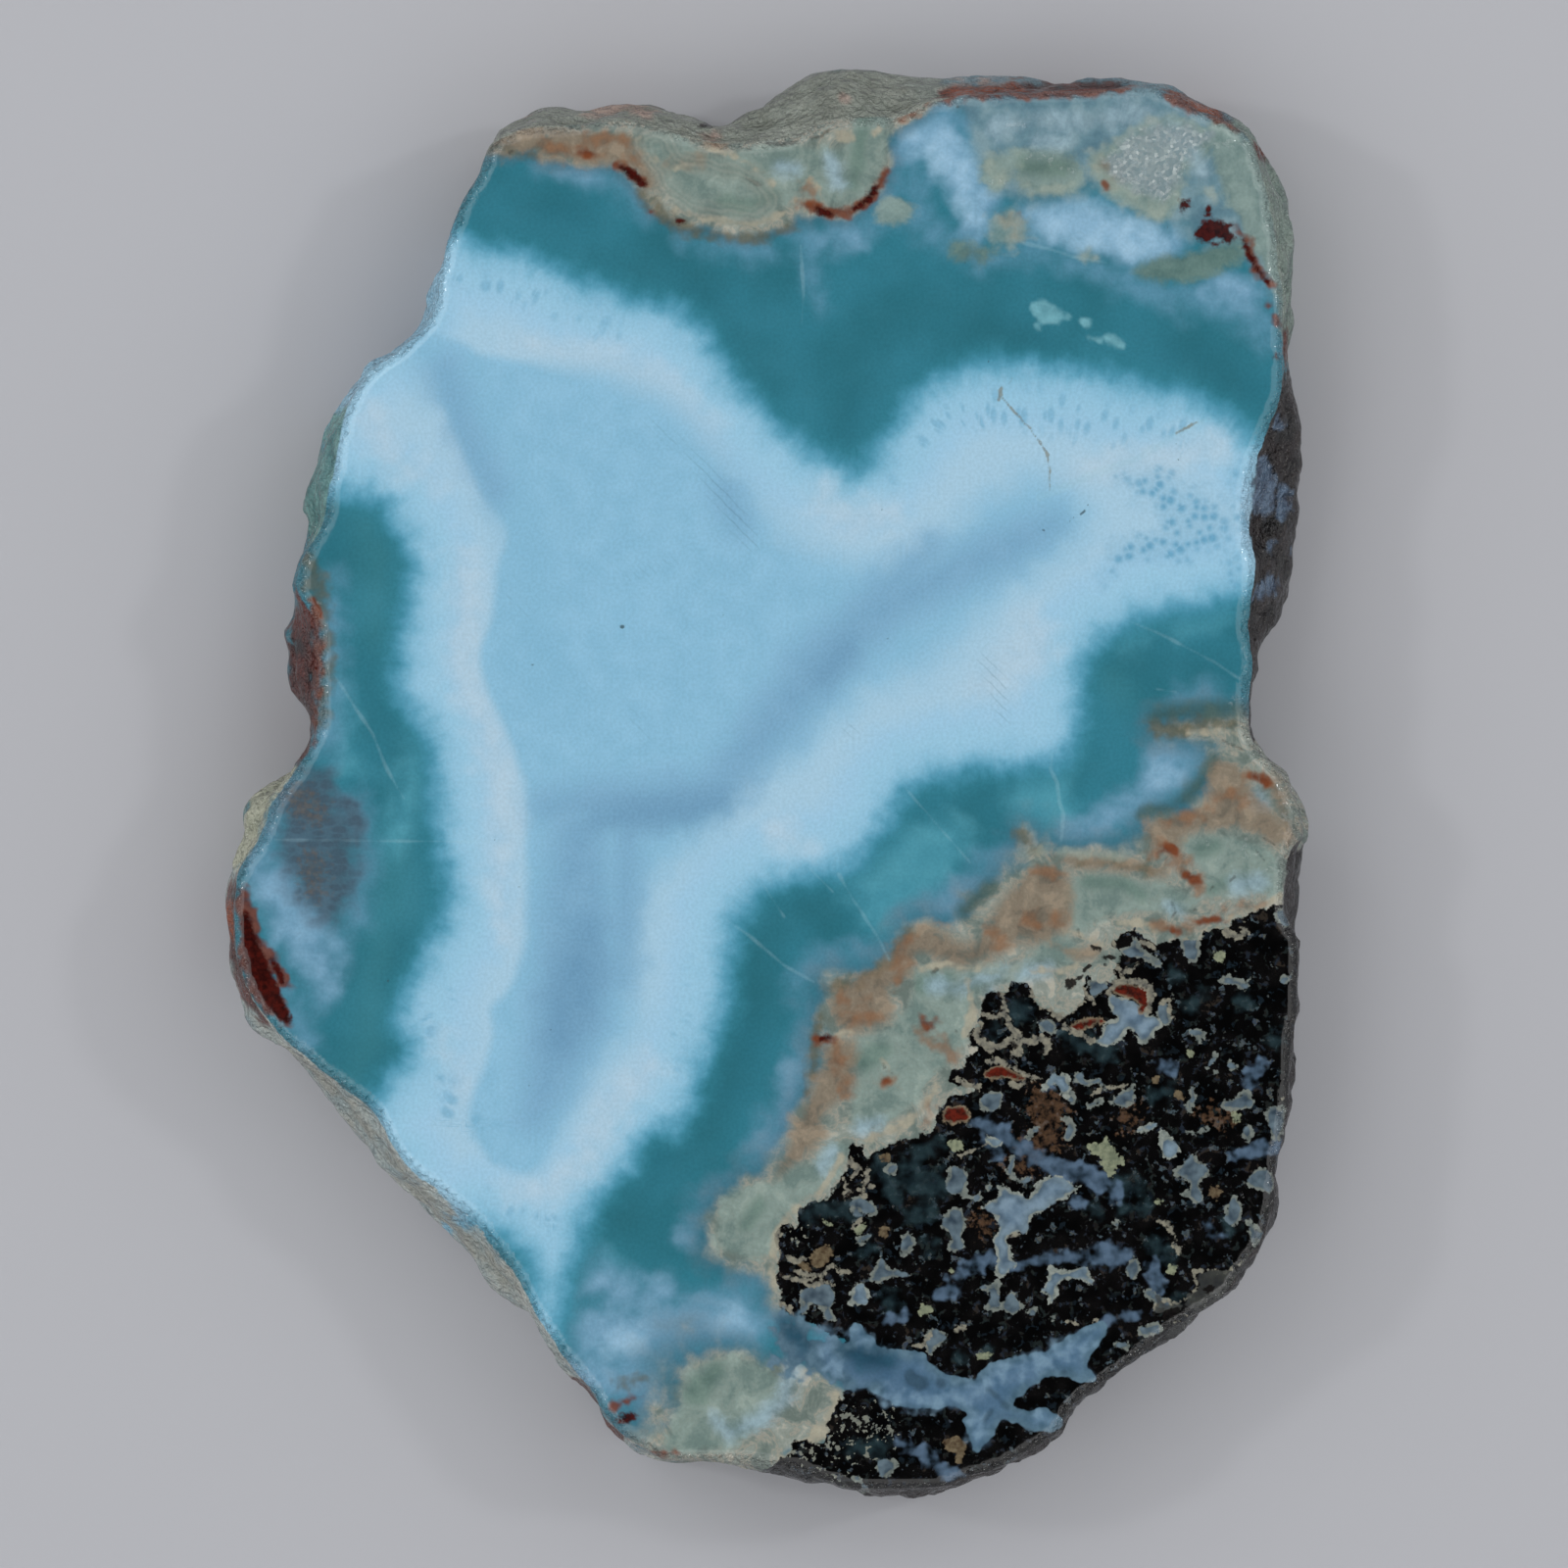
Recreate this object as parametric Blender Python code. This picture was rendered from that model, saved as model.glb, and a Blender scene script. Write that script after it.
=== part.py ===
"""A slab of rough larimar, one natural piece.

Larimar is blue pectolite that filled a cavity in basalt. This piece is a slice sawn out of the
vein with some of the wall rock still on it, so it has two flat sawn faces and a rough rim between
them, where the lumps, ledges and pits of the natural rock are left as they broke.

The slab lies on its sawn back. Its show face looks up along +Z, its length runs along Y, and its
origin is under the middle of its box.
"""

import math

import bmesh
import bpy
from mathutils import Vector, noise

# Driving dimensions, in metres
THICKNESS = 0.011
LENGTH = 0.0917
MM = 0.001

# How finely the rim is faceted
COLUMN_STEP = 0.95 * MM
ROWS = 14
# Rows crowd towards the two sawn faces by this share of the thickness
ROW_CROWDING = 0.035

# The rim's relief: broad lumps, smaller knobs, broken ledges and pits
LUMP_SIZE, LUMP_HEIGHT = 6.5 * MM, 1.5 * MM
KNOB_SIZE, KNOB_HEIGHT = 2.6 * MM, 0.55 * MM
LEDGE_SPACING, LEDGE_HEIGHT, LEDGE_RISE = 4.0 * MM, 0.7 * MM, 0.65
LEDGE_SLOPE, LEDGE_BEND = 0.25, 3.5 * MM
PIT_SIZE, PIT_DEPTH, PIT_REACH = 3.6 * MM, 0.85 * MM, 0.45
CHIP_SIZE, CHIP_HEIGHT = 1.4 * MM, 0.12 * MM
# The relief stands back from the outline and is gentler on the rim's crest, so that the outline holds
STAND_BACK, CREST_SHARE = 0.3 * MM, 0.4
# Columns wander as they go down, so that the outline's notches aren't plain flutes
DRIFT_SIZE, DRIFT = 7.0 * MM, 1.4 * MM
SAG_SIZE, SAG = 3.0 * MM, 0.5 * MM

# The rim's section, as shares of the thickness: where it stands out furthest, and how far it tucks in
# below that towards the back, each with how much it varies and over what length
WIDEST, WIDEST_SPREAD, WIDEST_SIZE = 0.58, 0.3, 9 * MM
TUCK, TUCK_SPREAD, TUCK_SIZE = 0.5, 0.6, 11 * MM
# The relief fades out over these shares of the thickness at the two sawn edges
FACE_FADE, BACK_FADE = 0.22, 0.28

# How each kind of rock broke, as shares of those heights: lumps, knobs, ledges, pits
WAXY_CLAY = (1.0, 0.5, 0.5, 0.3)
KNOBBY_BASALT = (0.9, 1.3, 0.7, 1.2)
BROKEN_BASALT = (0.6, 0.9, 1.2, 0.9)
FIBROUS_BLUE = (0.6, 0.5, 1.0, 0.4)
ROUNDED_BUMPS = (1.2, 0.6, 0.4, 0.5)

# The outline in millimetres, clockwise from the top left corner seen from above. Each point is
# (x, y) on the edge of the show face, then (x, y) of the rough rim where it stands out furthest.
TOP_EDGE = (
    (-17.1, 40.8, -17.6, 41.7), (-15.2, 41.5, -15.5, 42.9), (-13.9, 41.7, -14.2, 43.7),
    (-11.2, 41.8, -11.4, 43.7), (-9.4, 42.0, -9.6, 44.2), (-7.5, 41.7, -7.8, 43.8),
    (-3.9, 40.7, -3.9, 42.8), (-2.3, 40.5, -2.3, 42.3), (0.9, 40.6, 0.6, 44.0),
    (2.5, 41.0, 2.4, 44.9), (4.2, 41.9, 4.1, 45.7), (8.6, 42.1, 8.2, 45.8),
    (10.8, 43.4, 10.7, 45.8), (16.8, 43.7, 17.1, 45.7), (18.1, 44.0, 18.7, 45.3),
    (23.2, 44.2, 23.5, 45.0), (25.2, 43.9, 25.9, 44.9), (27.6, 42.5, 28.3, 43.9),
    (29.6, 41.8, 30.2, 42.9),
)
RIGHT_EDGE = (
    (30.9, 40.7, 31.9, 41.4), (31.4, 39.1, 32.8, 39.6), (32.0, 37.0, 33.8, 37.4),
    (32.4, 34.5, 34.3, 35.1), (32.9, 29.1, 34.4, 29.3), (32.9, 27.3, 33.9, 27.6),
    (33.0, 25.8, 34.1, 25.7), (32.7, 24.3, 34.2, 24.6), (31.9, 22.9, 34.3, 23.2),
    (31.1, 21.2, 34.4, 21.3), (30.4, 18.5, 34.5, 18.8), (30.6, 15.8, 34.5, 16.1),
    (30.9, 14.0, 34.4, 14.4), (30.7, 12.2, 33.9, 12.2), (30.7, 10.4, 32.9, 10.3),
    (30.9, 8.4, 31.6, 8.6), (30.6, 4.2, 31.1, 4.2), (31.2, 2.4, 31.8, 2.4),
    (32.5, 1.2, 33.2, 1.2), (33.5, -0.5, 34.1, -0.5), (33.9, -2.4, 34.7, -2.4),
    (33.1, -4.9, 34.8, -5.0), (33.0, -8.0, 34.6, -7.9), (33.9, -9.6, 34.4, -9.7),
)
LOWER_RIGHT_EDGE = (
    (33.9, -11.5, 34.5, -11.7), (33.5, -18.9, 34.1, -19.2), (32.6, -24.2, 33.1, -24.6),
    (32.3, -27.0, 32.9, -27.4), (30.3, -31.2, 30.8, -31.7), (28.9, -32.7, 29.4, -33.2),
    (24.8, -35.5, 25.2, -36.1), (20.5, -38.8, 20.8, -39.4), (19.5, -39.6, 19.8, -40.3),
    (18.7, -41.1, 19.0, -41.7), (15.1, -43.4, 15.3, -44.1), (11.7, -44.6, 11.9, -45.3),
)
FOOT_EDGE = (
    (8.6, -44.8, 8.7, -45.6), (5.6, -44.7, 5.7, -45.6), (1.2, -43.2, 1.3, -44.1),
    (-3.4, -42.9, -3.5, -43.7), (-6.1, -42.9, -6.3, -43.7), (-7.8, -42.1, -8.3, -43.2),
    (-9.2, -41.1, -9.6, -42.3), (-10.3, -39.8, -10.9, -40.4), (-11.2, -38.1, -11.7, -38.9),
    (-12.2, -37.1, -12.7, -38.3), (-13.4, -35.4, -13.8, -36.7), (-14.2, -34.2, -14.6, -34.8),
)
LOWER_LEFT_EDGE = (
    (-16.1, -30.4, -17.6, -32.4), (-18.9, -27.0, -20.5, -29.2), (-22.9, -23.9, -24.4, -24.9),
    (-25.0, -20.4, -26.9, -21.7), (-28.7, -17.7, -30.5, -17.5), (-31.8, -14.8, -33.1, -15.0),
    (-33.4, -11.2, -34.5, -11.5), (-33.7, -7.1, -34.8, -7.9), (-33.2, -5.3, -34.5, -5.6),
    (-32.2, -3.9, -34.0, -3.8), (-31.4, -2.4, -33.4, -2.3), (-30.8, -0.7, -33.1, -0.9),
)
LEFT_EDGE = (
    (-29.4, 1.2, -30.5, 1.1), (-28.1, 3.6, -29.7, 3.8), (-28.1, 4.8, -30.5, 5.1),
    (-28.0, 7.6, -30.6, 7.8), (-28.1, 9.0, -31.0, 9.0), (-28.3, 10.1, -30.5, 10.4),
    (-29.7, 12.4, -30.8, 12.6), (-29.1, 14.7, -30.2, 14.8), (-27.7, 16.9, -30.2, 16.8),
    (-27.6, 18.4, -30.4, 18.3), (-27.0, 20.6, -29.0, 20.6), (-26.8, 22.2, -28.2, 22.3),
    (-25.9, 25.0, -26.9, 24.9), (-25.0, 26.4, -25.7, 26.6), (-23.7, 27.1, -24.5, 27.4),
    (-21.7, 28.6, -22.6, 29.0), (-21.1, 29.5, -21.7, 30.0), (-20.5, 32.8, -21.1, 33.1),
    (-19.3, 36.5, -19.9, 37.0), (-17.9, 39.1, -18.4, 39.3),
)
STRETCHES = (
    (TOP_EDGE, WAXY_CLAY),
    (RIGHT_EDGE, KNOBBY_BASALT),
    (LOWER_RIGHT_EDGE, BROKEN_BASALT),
    (FOOT_EDGE, WAXY_CLAY),
    (LOWER_LEFT_EDGE, FIBROUS_BLUE),
    (LEFT_EDGE, ROUNDED_BUMPS),
)


def clear_scene():
    for old in list(bpy.data.objects):
        bpy.data.objects.remove(old, do_unlink=True)


def smooth(t):
    """Rises from 0 to 1 with level ends, and stays there outside that range."""
    t = min(1.0, max(0.0, t))
    return t * t * (3 - 2 * t)


def between(before, start, end, after, t):
    """A point of the Catmull-Rom curve from start to end, for rows of numbers."""
    return [
        0.5 * (2 * b + (c - a) * t + (2 * a - 5 * b + 4 * c - d) * t**2 + (3 * b - a - 3 * c + d) * t**3)
        for a, b, c, d in zip(before, start, end, after)
    ]


def columns():
    """(point of the cut edge, point of the rim, how it broke) at even steps round the slab."""
    outline = [point + rock for points, rock in STRETCHES for point in points]
    found = []
    count = len(outline)
    for i in range(count):
        before, start, end, after = (outline[(i + k) % count] for k in (-1, 0, 1, 2))
        span = math.dist(start[2:4], end[2:4]) * MM
        steps = max(1, round(span / COLUMN_STEP))
        for k in range(steps):
            cut_x, cut_y, rim_x, rim_y, *rock = between(before, start, end, after, k / steps)
            found.append((Vector((cut_x, cut_y)) * MM, Vector((rim_x, rim_y)) * MM, rock))
    return found


def outward_normals(points):
    """Each point's direction out of the clockwise outline, from neighbours three steps away."""
    count = len(points)
    normals = []
    for i in range(count):
        along = points[(i + 3) % count] - points[(i - 3) % count]
        normals.append(Vector((-along.y, along.x)).normalized())
    return normals


def rough(place, size, pattern):
    """Smooth noise about 0 with features of this size. Each pattern number is a noise of its own."""
    return noise.noise(place / size + Vector((7.3, 3.1, 5.7)) * pattern)


def relief(place, rock):
    """How far the broken rock stands out at this place, in metres."""
    lump_share, knob_share, ledge_share, pit_share = rock
    lumps = rough(place, LUMP_SIZE, 0) * LUMP_HEIGHT
    knobs = rough(place, KNOB_SIZE, 1) * KNOB_HEIGHT
    height = place.z + LEDGE_SLOPE * (place.x - place.y) + LEDGE_BEND * rough(place, LUMP_SIZE, 2)
    climb = (height / LEDGE_SPACING) % 1.0
    ledges = (smooth(climb / LEDGE_RISE) * smooth((1 - climb) / (1 - LEDGE_RISE)) - 0.5) * LEDGE_HEIGHT
    nearest = noise.voronoi(place / PIT_SIZE)[0][0]
    pits = -smooth(1 - nearest / PIT_REACH) * PIT_DEPTH
    return lumps * lump_share + knobs * knob_share + ledges * ledge_share + pits * pit_share


def profile(rim, depth):
    """How far out a column is at this depth: 0 at the cut edge, 1 where the rim stands out furthest."""
    here = Vector((rim.x, rim.y, 0))
    widest = WIDEST + WIDEST_SPREAD * rough(here, WIDEST_SIZE, 3)
    if depth < widest:
        return math.sin(0.5 * math.pi * depth / widest)
    tuck = TUCK + TUCK_SPREAD * rough(here, TUCK_SIZE, 4)
    return 1 - tuck * smooth((depth - widest) / (1 - widest))


def ring_at(walls, normals, depth):
    """One closed ring of points at a depth below the show face, given as a share of the thickness."""
    ring = []
    inside = smooth(depth / FACE_FADE) * smooth((1 - depth) / BACK_FADE + 0.25)
    between_faces = smooth(depth / FACE_FADE) * smooth((1 - depth) / FACE_FADE)
    for (cut, rim, rock), normal in zip(walls, normals):
        reach = profile(rim, depth)
        place = cut.lerp(rim, reach)
        spot = Vector((place.x, place.y, THICKNESS * (1 - depth)))
        spot.z += SAG * rough(spot, SAG_SIZE, 5) * between_faces
        sideways = DRIFT * rough(spot, DRIFT_SIZE, 6) * inside
        crest = 1 - (1 - CREST_SHARE) * reach**2
        outward = (relief(spot, rock) * crest - STAND_BACK) * inside
        outward += CHIP_HEIGHT * rough(spot, CHIP_SIZE, 7)
        spot.x += normal.x * outward + normal.y * sideways
        spot.y += normal.y * outward - normal.x * sideways
        ring.append(spot)
    return ring


def slab_mesh():
    """A loft from the show face's outline, through the rough rim, to the sawn back's outline."""
    walls = columns()
    normals = outward_normals([rim for cut, rim, rock in walls])
    shape = bmesh.new()
    rings = []
    for row in range(ROWS):
        depth = row / (ROWS - 1)
        depth += ROW_CROWDING * math.sin(2 * math.pi * depth)
        ring = ring_at(walls, normals, depth)
        rings.append([shape.verts.new(point) for point in ring])
    count = len(walls)
    for upper, lower in zip(rings, rings[1:]):
        for i in range(count):
            j = (i + 1) % count
            shape.faces.new((upper[i], upper[j], lower[j], lower[i]))
    shape.faces.new(rings[0])
    shape.faces.new(rings[-1])
    bmesh.ops.recalc_face_normals(shape, faces=shape.faces)
    return shape


def settle(shape):
    """Puts the origin under the middle of the box and trims the length to the stated one."""
    corners = [
        (min(v.co[k] for v in shape.verts), max(v.co[k] for v in shape.verts)) for k in range(3)
    ]
    middle = Vector([(low + high) / 2 for low, high in corners])
    stretch = LENGTH / (corners[1][1] - corners[1][0])
    for vertex in shape.verts:
        vertex.co.x = (vertex.co.x - middle.x) * stretch
        vertex.co.y = (vertex.co.y - middle.y) * stretch


def larimar_material():
    """Wet, close-grained stone, in the mean blue of the show face."""
    stone = bpy.data.materials.new("larimar")
    stone.use_nodes = True
    surface = stone.node_tree.nodes["Principled BSDF"]
    surface.inputs["Base Color"].default_value = (0.28, 0.52, 0.62, 1)
    surface.inputs["Roughness"].default_value = 0.25
    surface.inputs["Metallic"].default_value = 0.0
    return stone


def main():
    clear_scene()
    collection = bpy.data.collections.new("rough_larimar")
    bpy.context.scene.collection.children.link(collection)
    shape = slab_mesh()
    settle(shape)
    mesh = bpy.data.meshes.new("larimar_slab")
    shape.to_mesh(mesh)
    shape.free()
    mesh.materials.append(larimar_material())
    slab = bpy.data.objects.new("larimar_slab", mesh)
    collection.objects.link(slab)


main()
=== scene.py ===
# %% [markdown]
# # A rough larimar slab
# Larimar is blue pectolite that grew in veins and gas holes of a dark basalt. This slab is one saw cut
# through such a vein: two flat sawn faces, and between them the rough natural rim. The show face is wet
# with water or oil, which is what brings out the blue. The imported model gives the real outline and
# thickness, and everything here is laid over it in the same metres.

import bmesh
import bpy
import numpy as np
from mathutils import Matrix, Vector, noise


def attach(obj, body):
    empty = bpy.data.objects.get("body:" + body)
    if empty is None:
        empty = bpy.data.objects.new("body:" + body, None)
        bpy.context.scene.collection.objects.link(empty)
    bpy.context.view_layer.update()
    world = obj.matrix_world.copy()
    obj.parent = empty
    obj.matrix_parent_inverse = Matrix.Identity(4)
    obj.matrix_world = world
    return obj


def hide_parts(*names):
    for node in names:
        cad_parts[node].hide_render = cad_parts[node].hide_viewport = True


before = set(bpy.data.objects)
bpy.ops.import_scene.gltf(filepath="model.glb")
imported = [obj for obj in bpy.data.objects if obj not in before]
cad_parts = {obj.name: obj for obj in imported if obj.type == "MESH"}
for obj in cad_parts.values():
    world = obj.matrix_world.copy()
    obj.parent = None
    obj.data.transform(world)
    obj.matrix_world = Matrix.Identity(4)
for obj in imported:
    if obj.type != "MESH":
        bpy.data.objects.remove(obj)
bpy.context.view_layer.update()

# %% [markdown]
# The slab's markings are drawn on a sheet of 1600 x 1600 points that covers the view from above. One
# small function turns points on that sheet into millimetres on the show face, so that every line below
# can be read beside a picture of the stone.

# %% From the sheet to millimetres
POINTS_PER_MM = 16.0446
SHEET_ORIGIN = (781.76, 799.47)
FACE_HEIGHT = 11.0


def to_mm(points):
    """Points on the sheet, as x and y in millimetres on the show face."""
    points = np.asarray(points, float)
    rightwards, upwards = points[:, 0] - SHEET_ORIGIN[0], SHEET_ORIGIN[1] - points[:, 1]
    return np.stack([rightwards, upwards], axis=1) / POINTS_PER_MM


# %% [markdown]
# Two kinds of drawing are enough. A contour is a closed smooth line, such as the edge of the pale heart
# of the vein. A stroke is a line with a width that changes along it, such as a red seam. Both are turned
# into the distance from their edge, in millimetres, positive inside. A distance blends smoothly between
# mesh points, so the material can make from it an edge as sharp or as soft as the real one.

# %% Distances to contours, areas and strokes
REACH = 3.0
CURVE_STEPS = 4


def contour(text):
    """A closed Catmull-Rom curve through the sheet's points in the text, in millimetres."""
    knots = to_mm(np.array(text.split(), float).reshape(-1, 2))
    before, after, later = np.roll(knots, 1, 0), np.roll(knots, -1, 0), np.roll(knots, -2, 0)
    curve = []
    for t in np.arange(CURVE_STEPS) / CURVE_STEPS:
        curve.append(0.5 * (2 * knots + (after - before) * t
                            + (2 * before - 5 * knots + 4 * after - later) * t ** 2
                            + (3 * knots - before - 3 * after + later) * t ** 3))
    return np.stack(curve, 1).reshape(-1, 2)


def inside_contour(points, text):
    """Distance from the contour, positive inside, and how far along it the nearest place lies."""
    curve = contour(text)
    ends = np.roll(curve, -1, 0)
    best = np.full(len(points), 1e9)
    along = np.zeros(len(points))
    crossings = np.zeros(len(points), bool)
    travelled = 0.0
    for start, end in zip(curve, ends):
        step = end - start
        length = max(float(np.hypot(*step)), 1e-9)
        offset = points - start
        share = np.clip(offset @ step / length ** 2, 0, 1)
        away = np.hypot(offset[:, 0] - share * step[0], offset[:, 1] - share * step[1])
        closer = away < best
        best[closer] = away[closer]
        along[closer] = travelled + share[closer] * length
        travelled += length
        if step[1] != 0:
            spans = (start[1] > points[:, 1]) != (end[1] > points[:, 1])
            crossings ^= spans & (offset[:, 0] < step[0] * offset[:, 1] / step[1])
    return np.where(crossings, best, -best), along


def near_box(points, low, high):
    """The numbers of the points that lie within reach of a box."""
    return np.flatnonzero(((points > low - REACH) & (points < high + REACH)).all(axis=1))


def forms(text):
    """The forms of a drawing, one to a line. A line after a space continues the form above it."""
    return text.strip().replace("\n ", " ").splitlines()


def tell(title, *drawings):
    """Prints how many forms the drawings hold."""
    print(title + ":", sum(len(forms(drawing)) for drawing in drawings), "forms")


def inside_drawing(points, text):
    """Distance inside the nearest form of a drawing. A form that starts with o is a closed area, x and y by
    turns. Any other form is a stroke, x, y and half-width by turns."""
    best = np.full(len(points), -REACH)
    for form in forms(text):
        if form.startswith("o"):
            curve = contour(form[1:])
            near = near_box(points, curve.min(axis=0), curve.max(axis=0))
            best[near] = np.maximum(best[near], inside_contour(points[near], form[1:])[0])
            continue
        knots = np.array(form.split(), float).reshape(-1, 3)
        centres, widths = to_mm(knots[:, :2]), knots[:, 2] / POINTS_PER_MM
        for i in range(max(1, len(knots) - 1)):
            j = min(i + 1, len(knots) - 1)
            width = max(widths[i], widths[j])
            near = near_box(points, np.minimum(centres[i], centres[j]) - width,
                            np.maximum(centres[i], centres[j]) + width)
            step, offset = centres[j] - centres[i], points[near] - centres[i]
            share = np.clip(offset @ step / max(step @ step, 1e-9), 0, 1)
            away = np.hypot(*(offset - share[:, None] * step).T)
            best[near] = np.maximum(best[near], widths[i] + share * (widths[j] - widths[i]) - away)
    return best


print("a stroke or an area is measured up to", REACH, "mm away")

# %% [markdown]
# ## The blue vein
# The vein is zoned. Deep teal lies against the rock, and the pale heart fills the middle, with a whitish
# edge and a sky-blue core. The fibres grew inwards from the walls, so the zones run side by side like
# tree rings.

# %% Contours of the pale heart and of its core
PALE_HEART = """
420 242 445 246 470 252 500 264 530 269 560 280 590 298 620 307 650 316 680 324 705 338 722 364 738 390
765 418 785 440 805 456 825 470 845 482 865 490 882 488 897 474 910 456 922 437 937 417 952 403 972 391
1000 383 1030 382 1060 384 1100 386 1140 396 1175 405 1205 412 1228 420 1247 433 1265 447 1285 460
1340 475 1340 590 1275 596 1240 604 1205 611 1175 617 1150 626 1127 637 1112 650 1101 668 1094 690
1092 712 1092 740 1084 760 1064 770 1040 774 1000 774 962 781 932 790 917 800 905 820 892 843 872 866
850 878 812 887 780 896 760 910 745 932 736 960 733 990 731 1020 722 1048 710 1075 704 1100 696 1125
684 1141 664 1147 648 1160 638 1180 620 1200 600 1222 588 1245 578 1270 571 1290 566 1320 560 1350
540 1380 556 1330 556 1305 548 1280 530 1262 505 1248 480 1240 440 1250 400 1180 385 1150 398 1118
412 1100 425 1080 426 1060 418 1040 424 1015 436 990 448 968 460 945 465 925 466 900 461 875 457 850
455 820 454 790 449 762 440 738 426 716 415 700 419 680 421 640 426 605 429 580 425 552 411 530 400 507
380 498 358 494 342 492 325 488 330 440 345 380 400 340 425 290
"""
SKY_CORE = """
430 340 470 350 500 364 550 371 600 378 650 392 690 414 720 441 748 470 772 500 790 530 815 553 850 568
890 575 925 570 955 553 980 530 1005 508 1035 492 1065 485 1095 500 1110 525 1098 555 1060 585 1025 605
1000 630 970 660 935 688 895 702 868 722 840 745 810 775 780 793 758 803 742 830 718 856 690 880 668 902
656 930 651 965 649 1005 650 1040 638 1062 615 1085 598 1110 582 1140 566 1170 548 1196 520 1195 492 1175
478 1145 485 1110 498 1078 503 1052 500 1030 514 1015 528 990 535 955 537 915 536 870 539 835 533 795
518 752 503 718 493 692 490 668 496 645 503 620 505 592 510 570 517 550 512 530 496 510 482 485 470 455
458 430 448 405 440 375 425 360
"""
print("heart and core:", len(contour(PALE_HEART)), "and", len(contour(SKY_CORE)), "points on their curves")

# %% [markdown]
# Over those zones lie clouds that follow no contour: dusty grey-blue where the heart is clearer, lavender
# white where it is chalky, deeper, brighter and greener teal, and a milky haze where the vein meets its
# walls.

# %% Clouds in the pale heart
DUSTY = """
950 560 12 900 610 20 860 650 22 820 680 20
745 790 22 790 735 26 830 690 28 870 650 24 915 612 24 970 585 22 1030 558 22 1075 535 14
560 824 16 600 820 22 660 822 26 720 812 24 760 795 16
590 850 26 590 920 38 590 980 44 580 1040 40 562 1095 28 545 1140 14
640 860 12 638 930 16 632 1000 14
455 380 12 472 440 12 505 500 12
740 500 10 752 530 12
"""
DUSK = """
600 950 12 592 985 22 584 1020 26 572 1060 16
610 838 8 650 830 14 700 828 16 735 818 10
840 690 8 865 662 8
"""
CHALK = """
470 570 12 478 620 18 472 670 18 478 700 16 500 745 16 512 800 16 515 850 14 505 900 12 520 960 8
530 350 8 580 362 12 640 375 14 690 400 14 720 440 14 735 480 8
1000 700 12 1040 672 24 1060 660 20 1045 630 12
1060 500 8 1110 480 14 1180 465 18 1240 456 18
660 1090 14 620 1130 18 600 1180 16 560 1215 14 520 1215 10
790 850 12 820 862 8
455 1060 10 470 1110 10
380 430 14 400 470 14 440 490 8
840 510 16 870 530 20 910 525 14
"""
BLUE_SHADE = """
525 520 20 545 580 22 545 640 20 560 700 24
480 400 12 500 440 14
430 300 10 420 350 14 440 395 12
"""
FLECKS = """
430 278 8 500 290 10 560 310 12 620 330 12
420 265 6 470 275 8
960 430 12 1010 415 22 1080 420 24 1150 430 22 1200 440 14
905 490 10 940 460 14
430 1040 12 440 1090 16 470 1140 18 510 1170 14
500 1225 10 560 1250 10
440 980 8 452 1020 8
700 990 6 690 1080 8
"""
DOTS = """
1150 488 10 1180 500 18 1210 520 24 1240 540 24 1200 555 22 1160 560 14 1130 580 8
1265 480 8 1260 590 8
"""
tell("clouds in the heart", DUSTY, DUSK, CHALK, BLUE_SHADE, FLECKS, DOTS)

# %% Clouds in the teal
TEAL_DEEP = """
620 1215 12 660 1190 16 700 1165 18 740 1110 20 762 1060 20 775 1000 18
600 1245 14 640 1240 16
1215 355 22 1250 385 20 1280 400 12
1000 330 12 1060 350 12
670 240 10 690 260 12 720 300 14
560 210 14 590 215 12
1250 690 12 1225 685 10
400 1000 8 410 960 8
770 975 12 765 1010 12
795 900 6 830 930 8 850 960 8
860 440 10 870 400 10
"""
TEAL_BRIGHT = """
430 740 14 425 790 16 412 830 14 400 860 8
1150 650 12 1190 615 14 1215 635 16 1240 622 12
o 850 885 875 925 905 962 925 948 950 925 975 892 990 850 965 835 925 845 880 862
890 890 10 920 890 10
o 1082 770 1090 800 1095 850 1040 842 1030 800 1045 772
1100 760 8
335 690 12 345 740 12 355 780 10
560 1310 8 620 1290 12
1060 790 12 1062 840 10
"""
TEAL_GREEN = """
370 480 20 385 560 26 395 640 26
400 860 22 400 920 24 395 980 24 380 1060 24 360 1100 14
1130 690 16 1150 710 12
"""
HAZE = """
545 168 5 600 178 9 640 196 10 660 220 6
800 232 8 830 250 16 870 240 14 900 215 10 905 195 10
826 250 6 832 290 6 834 320 4
912 175 12 935 190 14 940 215 12 930 230 10
720 250 10 780 258 10
700 245 6
335 590 10 340 640 12 338 690 14 335 740 18 335 765 14
290 800 20 318 850 34 310 900 36 310 960 30 325 1010 18
275 870 16 282 840 14 360 820 14 372 860 14 360 930 18
345 960 16 340 1000 10
1218 768 10 1192 785 26 1180 805 22 1145 828 16 1110 846 12 1085 852 6
1235 706 7 1205 712 8
1030 868 12 1005 885 16 985 915 18 950 925 14 920 935 8
905 975 10 870 975 12 835 980 10 815 1000 8 822 1030 8 818 1080 12 806 1120 16 788 1150 16 770 1185 12
740 1205 10 712 1232 9 705 1260 11
575 1280 16 610 1300 22 640 1330 28 700 1350 24 750 1330 24 775 1305 18 740 1250 8
560 1350 14 600 1370 34 660 1375 34 740 1360 22 800 1350 14
595 1400 24 640 1415 26 670 1440 18 690 1465 10
545 1250 10 560 1300 14 570 1340 12
830 1370 12 860 1400 10
1200 310 14 1270 305 20 1295 345 12 1235 300 14
960 240 14 1000 262 12 1060 262 10 1120 275 12 1180 300 10
285 990 8 305 1020 8 312 1060 12
1010 395 8 960 405 6
"""
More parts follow.
